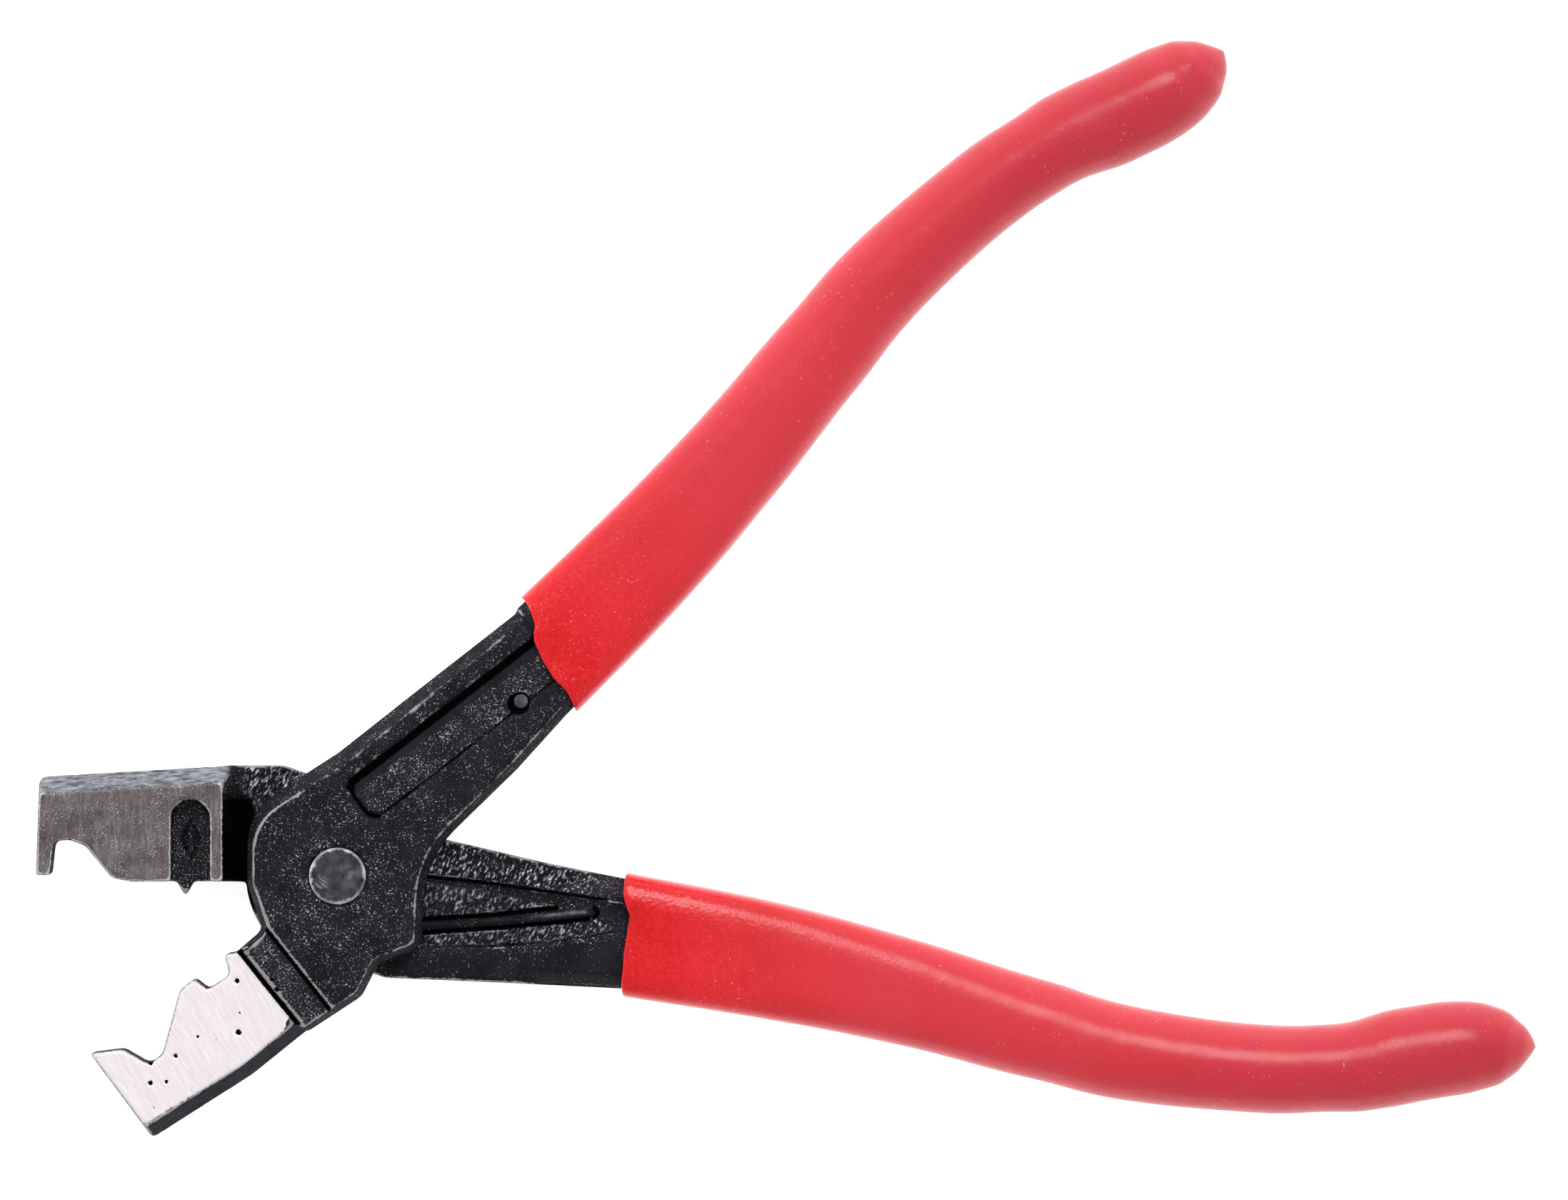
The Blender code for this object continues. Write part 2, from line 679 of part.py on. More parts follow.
def make_grip(name, lever):
    """A dipped sleeve, closed at the handle's end, with a cavity for the tang."""
    slim, *end = [GRIP_START + share * (GRIP_TIP - GRIP_START) for share in (SLIM_SHARE, *END_SHARES)]
    rings = []
    for along in inner_stations(lever.mouth, CAVITY_END)[::-1]:
        rings.append(grip_ring(lever, along, wall_at(along), slant_at(lever, along)))
    for along in evenly(lever.mouth, slim, 12) + end:
        rings.append(grip_ring(lever, along, 0.0, slant_at(lever, along)))
    tip = (*at(lever, GRIP_TIP, GRIP_TIP_OFFSET), LAP_HEIGHT)
    points = [p for ring in rings for p in ring] + [tip]
    faces = [tuple(range(RING_POINTS))[::-1]]
    for k in range(len(rings) - 1):
        for i in range(RING_POINTS):
            j = (i + 1) % RING_POINTS
            low, high = k * RING_POINTS, (k + 1) * RING_POINTS
            faces.append((low + i, low + j, high + j, high + i))
    last = (len(rings) - 1) * RING_POINTS
    for i in range(RING_POINTS):
        faces.append((last + i, last + (i + 1) % RING_POINTS, len(points) - 1))
    return solid(name, points, faces)


def tang(name, lever):
    """The lever's end inside its grip."""
    rings = []
    for along in inner_stations(TANG_START, TANG_END):
        rings.append(grip_ring(lever, along, wall_at(along) + GRIP_CLEARANCE))
    return lofted(name, rings)


# ---------------------------------------------------------------- rivet and pin


def make_rivet():
    """A solid rivet with a flat head at each end."""
    under = HEAD_PROUD + RIVET_SEAT_DEPTH - LAP_CLEARANCE
    top = OVERALL_THICKNESS
    head, chamfer = RIVET_HEAD_RADIUS, RIVET_HEAD_CHAMFER
    profile = [
        (head - chamfer, 0.0),
        (head, chamfer),
        (head, under),
        (RIVET_RADIUS, under),
        (RIVET_RADIUS, top - under),
        (head, top - under),
        (head, top - chamfer),
        (head - chamfer, top),
    ]
    return turned("pivot_rivet", profile)


def make_pin():
    """The small pressed pin at the edge of the front lever's panel."""
    floor = height_of(FRONT, FACE - PIN_DEPTH + LAP_CLEARANCE)
    top = height_of(FRONT, face_rise(PIN_PLACE[0]) - PANEL_DEPTH + PIN_PROUD)
    profile = [
        (PIN_RADIUS, floor),
        (PIN_RADIUS, top - PIN_CHAMFER),
        (PIN_RADIUS - PIN_CHAMFER, top),
    ]
    return turned("shank_pin", profile, at(FRONT, *PIN_PLACE), RING_POINTS)


# ---------------------------------------------------------------- assembly


def empty_on_axis(name):
    made = bpy.data.objects.new(name, None)
    made.location = (0, 0, LAP_HEIGHT * MM)
    made.empty_display_size = 10 * MM
    bpy.context.scene.collection.objects.link(made)
    return made


def hang_on(parent, pieces):
    for piece in pieces:
        piece.parent = parent
        piece.matrix_parent_inverse.translation = (0, 0, -LAP_HEIGHT * MM)


def main():
    for old in list(bpy.data.objects):
        bpy.data.objects.remove(old, do_unlink=True)
    black = material("black forged steel", (0.017, 0.017, 0.022), 0.45, 0.7)
    rivet_steel = material("worn rivet steel", (0.075, 0.075, 0.082), 0.4, 0.85)
    pin_steel = material("pin steel", (0.10, 0.10, 0.11), 0.35, 0.85)
    red = material("red dipped vinyl", (0.72, 0.012, 0.016), 0.32, 0.0)

    rear_lever, rivet, rear_grip = make_rear_lever(), make_rivet(), make_grip("rear_grip", REAR)
    front_lever, pin, front_grip = make_front_lever(), make_pin(), make_grip("front_grip", FRONT)
    for piece, finish in (
        (rear_lever, black), (front_lever, black), (rivet, rivet_steel), (pin, pin_steel),
        (rear_grip, red), (front_grip, red),
    ):
        piece.data.materials.append(finish)
    hang_on(empty_on_axis("rear side"), (rear_lever, rivet, rear_grip))
    hang_on(empty_on_axis("front side on the pivot"), (front_lever, pin, front_grip))


main()
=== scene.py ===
"""Looks of a pair of hose clamp pliers: two forged levers with ground jaws, a worn rivet and dipped grips.

The pliers lie flat and the rivet's axis is the Z axis. Lengths are in metres, and MM is a millimetre.
"""

import json
import math

import bmesh
import bpy
import numpy as np
from mathutils import Euler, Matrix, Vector


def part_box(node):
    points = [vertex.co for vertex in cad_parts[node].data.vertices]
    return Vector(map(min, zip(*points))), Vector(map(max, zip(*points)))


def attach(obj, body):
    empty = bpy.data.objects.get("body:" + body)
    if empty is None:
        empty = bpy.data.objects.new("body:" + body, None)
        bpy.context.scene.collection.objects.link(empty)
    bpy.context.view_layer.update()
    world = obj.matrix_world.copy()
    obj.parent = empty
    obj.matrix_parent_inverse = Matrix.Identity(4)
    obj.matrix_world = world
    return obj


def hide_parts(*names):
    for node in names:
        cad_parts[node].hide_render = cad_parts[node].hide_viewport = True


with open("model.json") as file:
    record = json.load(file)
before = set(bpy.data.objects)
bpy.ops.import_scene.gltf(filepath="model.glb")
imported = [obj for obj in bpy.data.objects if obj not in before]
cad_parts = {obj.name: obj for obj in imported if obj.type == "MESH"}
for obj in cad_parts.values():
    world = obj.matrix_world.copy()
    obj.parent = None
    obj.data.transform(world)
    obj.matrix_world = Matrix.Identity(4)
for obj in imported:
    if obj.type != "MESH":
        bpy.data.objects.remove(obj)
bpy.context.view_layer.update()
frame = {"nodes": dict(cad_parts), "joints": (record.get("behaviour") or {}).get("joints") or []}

MM = 0.001

# Sizes taken from the frame
MIDDLE = Vector(frame["joints"][0]["pos_m"]).z
THICKNESS = 2 * MIDDLE
RIVET_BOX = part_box("pivot_rivet")
PIN_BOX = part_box("shank_pin")
PIN_PLACE = ((PIN_BOX[0][0] + PIN_BOX[1][0]) / 2, (PIN_BOX[0][1] + PIN_BOX[1][1]) / 2)

# Forged levers
VOXEL = 0.27 * MM
GRID_TURN = Euler((0.42, 0.31, 0.38)).to_matrix()  # so that no flat face follows the voxels' steps
FINE_END = 48.5 * MM  # how far along the handles the skin is fine, a little way into the grips
FACE_RELAX = 3  # rounds that smooth the voxels' steps away
WIDE_RELAX = 14  # rounds after which an edge stands clear of the smoothed shape
JAW_FACE = 4.7 * MM  # how far the jaws' faces lie from the middle
GROUND_TO = {"front_lever": -4.0 * MM, "rear_lever": -14.2 * MM}  # the X where the ground faces end
# A shallow ring pressed into the hub round the rivet
RING_RADIUS = 6.9 * MM
RING_WIDTH = 0.6 * MM
RING_DEPTH = 0.06 * MM
# What each point of a lever's skin carries for its finish: deep is painted shade, glint sets how many painted
# glints there are, and pale is partly a painted sheen and highlight
MASKS = ("ground", "bright", "worn", "rough", "deep", "pale", "glint", "wall")

# Handles: each one's angle, and the side that it bows to
HANDLES = {"front": (42.8, 1.0), "rear": (-8.0, -1.0)}

# Dipped grips
GRIP_START = 40.0 * MM
GRIP_TIP = 169.4 * MM
GRIP_LENGTH = GRIP_TIP - GRIP_START
CAVITY_END = 159.0 * MM
GRIP_RINGS = 260
GRIP_SIDES = 96
MOUTH_WALL = 0.65 * MM
END_WALL = 1.9 * MM
LIP_RADIUS = 0.3 * MM
MOUTH_HALF_WIDTH = 8.65 * MM
MOUTH_FADE = 25 * MM  # how far along a grip its mouth's slant dies away
RIPPLE = 0.10 * MM

NOISE_TOP = 0.62  # a noise less this stays mostly below 0, so that a skin seldom rises past its solid
WELD = 0.001 * MM  # points of a solid closer than this are one


def smooth(low, high, values):
    """0 at low and before it, 1 at high and past it, and an even blend between them."""
    share = np.clip((values - low) / (high - low), 0, 1)
    return share * share * (3 - 2 * share)


# ---------------------------------------------------------------- node trees


class Tree:
    """Adds nodes to a shader tree or a geometry tree, and joins their sockets."""

    def __init__(self, tree):
        self.tree = tree

    def put(self, socket, value):
        if isinstance(value, bpy.types.NodeSocket):
            self.tree.links.new(value, socket)
        elif value is not None:
            socket.default_value = value

    def add(self, kind, inputs=None, **settings):
        node = self.tree.nodes.new(kind)
        for name, value in settings.items():
            setattr(node, name, value)
        for name, value in (inputs or {}).items():
            self.put(node.inputs[name], value)
        return node

    def math(self, operation, *values, clamp=False):
        inputs = dict(enumerate(values))
        return self.add("ShaderNodeMath", inputs, operation=operation, use_clamp=clamp).outputs[0]

    def plus(self, first, *others):
        for other in others:
            first = self.math("ADD", first, other)
        return first

    def minus(self, first, second):
        return self.math("SUBTRACT", first, second)

    def times(self, first, *others):
        for other in others:
            first = self.math("MULTIPLY", first, other)
        return first

    def reach(self, x, y):
        """How far a point with these two coordinates lies from the origin."""
        return self.math("SQRT", self.plus(self.times(x, x), self.times(y, y)))

    def stretched(self, vector, degrees, sizes):
        """The place turned about Z and measured in these sizes, longest along the turned X axis."""
        inputs = {"Vector": vector, "Rotation": (0.0, 0.0, math.radians(degrees)), "Scale": sizes}
        return self.add("ShaderNodeMapping", inputs, vector_type="TEXTURE").outputs[0]

    def combine(self, x=0.0, y=0.0, z=0.0):
        return self.add("ShaderNodeCombineXYZ", {"X": x, "Y": y, "Z": z}).outputs[0]

    def separate(self, vector):
        return self.add("ShaderNodeSeparateXYZ", {0: vector}).outputs

    def noise(self, vector, scale, detail=2.0, roughness=0.5, distortion=0.0):
        values = {
            "Vector": vector, "Scale": scale, "Detail": detail,
            "Roughness": roughness, "Distortion": distortion,
        }
        return self.add("ShaderNodeTexNoise", values).outputs[0]

    def seeded_noise(self, vector, seed, scale, detail, roughness):
        values = {"Vector": vector, "W": seed, "Scale": scale, "Detail": detail, "Roughness": roughness}
        return self.add("ShaderNodeTexNoise", values, noise_dimensions="4D").outputs[0]

    def ramp(self, value, low, high):
        """0 at low and before it, 1 at high and past it, and an even slope between them."""
        return self.add("ShaderNodeMapRange", {"Value": value, 1: low, 2: high}).outputs[0]

    def steps(self, value, *stops):
        """A colour ramp with (position, value or colour) stops."""
        node = self.add("ShaderNodeValToRGB", {"Fac": value})
        elements = node.color_ramp.elements
        while len(elements) < len(stops):
            elements.new(0.5)
        for element, (position, colour) in zip(elements, stops):
            element.position = position
            element.color = (*colour, 1.0) if isinstance(colour, tuple) else (colour,) * 3 + (1.0,)
        return node.outputs[0]

    def mix(self, factor, first, second):
        """A blend of two colours."""
        node = self.add("ShaderNodeMix", data_type="RGBA")
        for socket, value in zip((node.inputs[0], node.inputs[6], node.inputs[7]), (factor, first, second)):
            self.put(socket, (*value, 1.0) if isinstance(value, tuple) else value)
        return node.outputs[2]

    def blend(self, factor, first, second):
        """A blend of two numbers."""
        return self.add("ShaderNodeMix", {0: factor, 2: first, 3: second}, data_type="FLOAT").outputs[0]

    def curve(self, value, points, straight=()):
        """A smooth curve through (x, y) points, both from 0 to 1, with corners at the straight ones."""
        node = self.add("ShaderNodeFloatCurve", {"Value": value})
        curve = node.mapping.curves[0]
        while len(curve.points) < len(points):
            curve.points.new(0.5, 0.5)
        for k, (point, place) in enumerate(zip(curve.points, points)):
            point.location = place
            point.handle_type = "VECTOR" if k in straight else "AUTO_CLAMPED"
        node.mapping.update()
        return node.outputs[0]

    def lifted(self, geometry, lift):
        """The geometry with each point moved along its normal."""
        normal = self.add("GeometryNodeInputNormal").outputs[0]
        shift = self.add("ShaderNodeVectorMath", {0: normal, "Scale": lift}, operation="SCALE").outputs[0]
        return self.add("GeometryNodeSetPosition", {"Geometry": geometry, "Offset": shift}).outputs[0]


def painted(name):
    """A new material's tree, its shader and the object's own coordinates."""
    material = bpy.data.materials.new(name)
    material.use_nodes = True
    tree = Tree(material.node_tree)
    shader = material.node_tree.nodes["Principled BSDF"]
    place = tree.add("ShaderNodeTexCoord").outputs["Object"]
    return material, tree, shader, place


def bump(tree, height, distance, strength=1.0, under=None):
    node = tree.add("ShaderNodeBump", {"Height": height, "Distance": distance, "Strength": strength})
    tree.put(node.inputs["Normal"], under)
    return node.outputs[0]


def new_inputs(face, kind, values):
    """Adds named inputs of one kind to a node group, and gives back each one's identifier."""
    identifiers = {}
    for name, value in values:
        socket = face.new_socket(name, in_out="INPUT", socket_type=kind)
        socket.default_value = value
        identifiers[name] = socket.identifier
    return identifiers


# ---------------------------------------------------------------- finishes

RIM_RAG = 1.3 * MM  # how raggedly the rivet's rubbed rim ends


def forged_steel():
    """Black oxide over a forged skin, worn pale on the edges, with jaw faces ground to bare steel, with
    painted glints, painted highlights and shade in its grains, and painted shade in its grooves.
    """
    material, tree, shader, place = painted("forged_black_steel")
    near_ground, bright, worn, rough, deep, pale, glint, wall = (
        tree.add("ShaderNodeAttribute", attribute_name=name).outputs["Fac"] for name in MASKS
    )
    ragged = tree.noise(place, 1700, 4.0, 0.65)
    ragged_shift = tree.math("MULTIPLY_ADD", ragged, 0.10 * MM, -0.05 * MM)

    # The ground faces lie at one height on the front and at one on the back
    _, _, height = tree.separate(place)
    above_middle = tree.math("ABSOLUTE", tree.minus(height, MIDDLE))
    raised = tree.plus(above_middle, ragged_shift)
    at_face = tree.ramp(raised, JAW_FACE - 0.11 * MM, JAW_FACE - 0.07 * MM)
    whole = tree.math("MULTIPLY_ADD", tree.minus(ragged, 0.5), 0.8, near_ground)
    ground = tree.times(at_face, tree.steps(whole, (0.48, 0.0), (0.60, 1.0)))

    # Black oxide with fine painted glints, and coarse grains where the forging is rough, whose ridges are
    # painted as glossy highlights and whose gaps as shade
    clouds = tree.steps(tree.noise(place, 170, 3.0, 0.55), (0.35, 0.0), (0.68, 1.0))
    fine = tree.noise(place, 4300, 2.0, 0.6)
    patches = tree.noise(place, 420, 2.0, 0.5)
    skin = tree.mix(clouds, (0.0030, 0.0026, 0.0052), (0.011, 0.010, 0.016))
    sparkle = tree.plus(fine, tree.times(tree.minus(patches, 0.5), 0.22), tree.times(glint, 0.10))
    painted_glints = tree.steps(sparkle, (0.615, 0.0), (0.67, 0.16), (0.72, 0.7), (0.78, 1.0))
    skin = tree.mix(painted_glints, skin, (0.62, 0.61, 0.65))
    grains = tree.noise(tree.stretched(place, 62, (0.72 * MM, 0.36 * MM, 0.50 * MM)), 1.0, 2.5, 0.6)
    grain_highlights_and_shade = tree.steps(
        grains, (0.42, (0.002, 0.002, 0.003)), (0.51, (0.010, 0.010, 0.014)), (0.57, (0.09, 0.09, 0.105)),
        (0.63, (0.40, 0.40, 0.44)), (0.71, (0.85, 0.85, 0.90)),
    )
    skin = tree.mix(rough, skin, grain_highlights_and_shade)

    # A pale band on the jaw's upper side, partly rough bare steel and partly a painted sheen where it faces
    # the light, a painted highlight on the rib's end, edges rubbed bright, and painted shade in grooves,
    # corners and hollows
    wrinkles = tree.noise(tree.stretched(place, 8, (1.7 * MM, 0.55 * MM, 0.7 * MM)), 1.0, 3.5, 0.65)
    frost = tree.steps(wrinkles, (0.38, 0.0), (0.66, 1.0))
    skin = tree.mix(pale, skin, tree.mix(frost, (0.09, 0.094, 0.108), (0.37, 0.38, 0.42)))
    chipped = tree.math("MULTIPLY_ADD", ragged, 1.3, tree.times(patches, 1.3))
    edge = tree.plus(worn, tree.minus(chipped, 1.3))
    skin = tree.mix(tree.steps(edge, (0.42, 0.0), (0.80, 0.9)), skin, (0.34, 0.33, 0.34))
    # Painted shade: grooves, hollows, the neck's wall and the rings round the pip and the pin are painted
    # near black
    black = tree.steps(deep, (0.15, 0.0), (0.60, 1.0))
    skin = tree.mix(black, skin, (0.003, 0.003, 0.004))

    # The lower jaw's ground face: brushed and nearly white, with brown specks and black pits
    stains = tree.noise(place, 300, 4.0, 0.6)
    dents = tree.steps(tree.noise(place, 1500, 3.0, 0.6), (0.30, 0.75), (0.36, 0.0))
    pits = tree.steps(tree.noise(place, 1500, 3.0, 0.55), (0.25, 1.0), (0.275, 0.0))
    lines = tree.noise(tree.stretched(place, -58, (2.6 * MM, 0.20 * MM, 2.0 * MM)), 1.0, 4.0, 0.62)
    clean = tree.mix(tree.steps(lines, (0.3, 0.0), (0.7, 1.0)), (0.78, 0.70, 0.72), (0.94, 0.86, 0.88))
    specks = tree.times(tree.steps(stains, (0.5, 0.0), (0.75, 0.5)), dents)
    clean = tree.mix(specks, clean, (0.30, 0.24, 0.25))
    clean = tree.mix(pits, clean, (0.012, 0.009, 0.010))

    # The upper jaw's ground face: worn and brown, with upright strokes and nicks
    cloudy = tree.steps(stains, (0.34, 0.0), (0.68, 1.0))
    dull = tree.mix(cloudy, (0.110, 0.092, 0.095), (0.225, 0.196, 0.202))
    upright = tree.noise(tree.stretched(place, 90, (2.4 * MM, 0.38 * MM, 2.0 * MM)), 1.0, 3.0, 0.6)
    dull = tree.mix(tree.steps(upright, (0.40, 0.55), (0.58, 0.0)), dull, (0.070, 0.056, 0.057))
    nicks = tree.math("MULTIPLY_ADD", patches, 0.30, fine)
    dull = tree.mix(tree.steps(nicks, (0.765, 0.0), (0.82, 0.7)), dull, (0.55, 0.50, 0.50))
    dull = tree.mix(tree.times(dents, 0.8), dull, (0.035, 0.028, 0.028))

    steel = tree.mix(bright, dull, clean)
    brightened = tree.plus(worn, tree.times(ragged, 0.25))
    steel = tree.mix(tree.steps(brightened, (0.50, 0.0), (0.85, 0.8)), steel, (0.72, 0.69, 0.70))

    tree.put(shader.inputs["Base Color"], tree.mix(ground, skin, steel))
    # Where shade is painted, the skin is fully metallic over its near-black colour, so that it reflects
    # almost nothing
    metal = tree.blend(ground, tree.blend(black, 0.05, 1.0), tree.blend(bright, 0.45, 0.25))
    tree.put(shader.inputs["Metallic"], metal)
    matt = tree.blend(rough, tree.blend(fine, 0.30, 0.50), 0.22)
    matt = tree.blend(tree.math("MAXIMUM", black, wall), matt, 0.85)
    tree.put(shader.inputs["Roughness"], tree.blend(ground, matt, tree.blend(lines, 0.36, 0.55)))
    shader.inputs["Specular IOR Level"].default_value = 0.13

    unground = tree.minus(1.0, ground)
    ridges = tree.blend(pale, grains, wrinkles)
    coarse = tree.times(ridges, tree.math("MAXIMUM", rough, pale), 3.0)
    forged = bump(tree, tree.times(tree.plus(coarse, fine), unground), 0.10 * MM)
    scored = tree.times(tree.plus(lines, tree.times(pits, -3.0)), ground)
    tree.put(shader.inputs["Normal"], bump(tree, scored, 0.03 * MM, 0.6, forged))
    return material


def rivet_steel(name, dark, pale, rim_radius, rim_width, centre):
    """Blackened steel, mottled by the hammer, with a rim rubbed bright and a few scratches."""
    material, tree, shader, place = painted(name)
    away = tree.add("ShaderNodeVectorMath", {0: place, 1: centre}, operation="SUBTRACT").outputs[0]
    x, y, _ = tree.separate(away)

    def near(at_x, at_y, far):
        """1 at a place on the head, falling to 0 this far from it."""
        gap = tree.reach(tree.minus(x, at_x * MM), tree.minus(y, at_y * MM))
        return tree.math("SUBTRACT", 1.0, tree.math("DIVIDE", gap, far * MM), clamp=True)

    mottle = tree.noise(place, 900, 5.0, 0.62)
    tone = tree.mix(tree.steps(mottle, (0.30, 0.0), (0.74, 1.0)), dark, pale)
    cloud = tree.times(near(1.7, 0.2, 1.9), tree.steps(mottle, (0.44, 0.0), (0.62, 0.8)))
    tone = tree.mix(cloud, tone, (0.20, 0.19, 0.22))
    strokes = tree.noise(tree.stretched(away, -38, (2.0 * MM, 0.42 * MM, 2.0 * MM)), 1.0, 3.0, 0.6, 0.6)
    scratches = tree.times(tree.steps(strokes, (0.60, 0.0), (0.66, 1.0)), near(-1.5, -0.9, 2.0))
    tone = tree.mix(scratches, tone, (0.42, 0.41, 0.43))

    ragged = tree.math("MULTIPLY_ADD", tree.noise(place, 900, 4.0, 0.7), RIM_RAG, tree.reach(x, y))
    outer = rim_radius + RIM_RAG / 2
    uneven = tree.steps(tree.noise(place, 330, 2.0, 0.5), (0.40, 0.25), (0.60, 1.0))
    rim = tree.times(tree.ramp(ragged, outer - rim_width, outer), uneven)
    tree.put(shader.inputs["Base Color"], tree.mix(rim, tone, (0.75, 0.73, 0.74)))
    tree.put(shader.inputs["Roughness"], tree.blend(mottle, 0.30, 0.50))
    shader.inputs["Metallic"].default_value = 0.2
    shader.inputs["Specular IOR Level"].default_value = 0.3
    tree.put(shader.inputs["Normal"], bump(tree, mottle, 0.06 * MM, 0.6))
    return material


def dipped_vinyl():
    """Thick red vinyl with a fine orange peel: deepest red and glossiest at the mouths, rougher further
    along, paler and pinker along the middle, which is partly a painted sheen, and darker red towards the
    tips.
    """
    material, tree, shader, place = painted("red_dipped_vinyl")
    along = tree.add("ShaderNodeAttribute", attribute_name="along").outputs["Fac"]
    peel = tree.noise(place, 1900, 2.5, 0.6)
    broad = tree.noise(place, 90, 3.0, 0.5)
    clouds = tree.math("MULTIPLY_ADD", peel, 0.6, tree.times(broad, 0.4))
    # Deepest red at the mouths, paler and pinker along the middle, where the pink is partly a painted sheen,
    # and darker towards the tips
    mouth_red = tree.mix(tree.steps(clouds, (0.36, 0.0), (0.64, 1.0)), (0.62, 0.004, 0.006), (0.82, 0.017, 0.023))
    middle_red_with_painted_sheen = tree.mix(broad, (0.64, 0.029, 0.042), (0.70, 0.042, 0.061))
    tip_red = tree.mix(broad, (0.53, 0.024, 0.038), (0.60, 0.036, 0.054))
    red = tree.mix(tree.steps(along, (0.03, 0.0), (0.30, 1.0)), mouth_red, middle_red_with_painted_sheen)
    red = tree.mix(tree.steps(along, (0.45, 0.0), (0.85, 1.0)), red, tip_red)
    # Pale pink specks, painted in as the vinyl's fine sparkle
    specks = tree.steps(tree.noise(place, 2600, 1.5, 0.5), (0.68, 0.0), (0.76, 1.0))
    patches = tree.steps(tree.noise(place, 120, 2.0, 0.5), (0.45, 0.1), (0.65, 0.8))
    red = tree.mix(tree.times(specks, patches), red, (0.85, 0.32, 0.34))
    tree.put(shader.inputs["Base Color"], red)

    matt = tree.blend(tree.noise(place, 300, 3.0, 0.6), 0.20, 0.34)
    handling = tree.steps(along, (0.02, 0.45), (0.14, 0.9), (0.6, 1.0))
    tree.put(shader.inputs["Roughness"], tree.times(matt, handling))
    shader.inputs["Specular IOR Level"].default_value = 0.34
    shader.inputs["Sheen Weight"].default_value = 0.05
    shader.inputs["Sheen Roughness"].default_value = 0.35
    shader.inputs["Subsurface Weight"].default_value = 0.06
    shader.inputs["Subsurface Radius"].default_value = (1.0, 0.2, 0.15)
    shader.inputs["Subsurface Scale"].default_value = 0.8 * MM
    swell = tree.noise(place, 260, 2.0, 0.5)
    grainy = tree.times(peel, tree.steps(along, (0.05, 1.6), (0.40, 0.5)))
    orange_peel = tree.math("MULTIPLY_ADD", swell, 1.8, grainy)
    tree.put(shader.inputs["Normal"], bump(tree, orange_peel, 0.05 * MM, 0.9))
    return material


# ---------------------------------------------------------------- meshes


def points_of(mesh):
    flat = np.empty(3 * len(mesh.vertices), np.float32)
    mesh.vertices.foreach_get("co", flat)
    return flat.reshape(-1, 3).astype(np.float64)


def normals_of(mesh):
    flat = np.empty(3 * len(mesh.vertices), np.float32)
    mesh.vertex_normals.foreach_get("vector", flat)
    return flat.reshape(-1, 3).astype(np.float64)


def edges_of(mesh):
    flat = np.empty(2 * len(mesh.edges), np.int32)
    mesh.edges.foreach_get("vertices", flat)
    return flat.reshape(-1, 2)


def neighbour_mean(values, edges, counts):
    total = np.zeros_like(values)
    for column in range(values.shape[1]):
        total[:, column] = (
            np.bincount(edges[:, 0], values[edges[:, 1], column], len(values))
            + np.bincount(edges[:, 1], values[edges[:, 0], column], len(values))
        )
    return total / np.maximum(counts, 1)[:, None]


def relaxed(points, edges, rounds):
    """The points drawn halfway to their neighbours' mean this many times."""
    counts = np.bincount(edges.ravel(), minlength=len(points)).astype(float)
    for _ in range(rounds):
        points = points + 0.5 * (neighbour_mean(points, edges, counts) - points)
    return points


def set_points(mesh, points):
    mesh.vertices.foreach_set("co", points.astype(np.float32).ravel())
    mesh.update()


def set_mask(mesh, name, values):
    attribute = mesh.attributes.new(name, "FLOAT", "POINT")
    attribute.data.foreach_set("value", values.astype(np.float32))


def new_object(name, mesh):
    made = bpy.data.objects.new(name, mesh)
    bpy.context.scene.collection.objects.link(made)
    return made


def evaluated_mesh(made):
    """The object's mesh with its modifiers applied."""
    graph = bpy.context.evaluated_depsgraph_get()
    return bpy.data.meshes.new_from_object(made.evaluated_get(graph), depsgraph=graph)


def apply_modifiers(made):
    mesh = evaluated_mesh(made)
    made.modifiers.clear()
    made.data = mesh


def face_outwards(shape):
    bmesh.ops.recalc_face_normals(shape, faces=shape.faces)
    if shape.calc_volume(signed=True) < 0:
        bmesh.ops.reverse_faces(shape, faces=shape.faces)


# ---------------------------------------------------------------- places on the levers


def on_handle(side, *places):
    """Points in millimetres from pairs of how far along a handle and how far to its outer side."""
    angle, outward = HANDLES[side]
    c, s = math.cos(math.radians(angle)), math.sin(math.radians(angle))
    return tuple((along * c - outward * out * s, along * s + outward * out * c) for along, out in places)


def handle_places(side, points):
    """How far along a handle and how far to its outer side each point lies, in millimetres."""
    angle, outward = HANDLES[side]
    c, s = math.cos(math.radians(angle)), math.sin(math.radians(angle))
    along = points[:, 0] * c + points[:, 1] * s
    return along / MM, outward * (points[:, 1] * c - points[:, 0] * s) / MM


def distance_to(path, points):
    """The distance in millimetres from each point, seen from above, to a line through the path's points."""
    flat = points[:, :2] / MM
    nearest = np.full(len(flat), np.inf)
    for start, end in zip(path, path[1:]):
        start, step = np.array(start), np.array(end) - np.array(start)
        share = np.clip((flat - start) @ step / (step @ step), 0, 1)
        nearest = np.minimum(nearest, np.linalg.norm(flat - start - share[:, None] * step, axis=1))
    return nearest


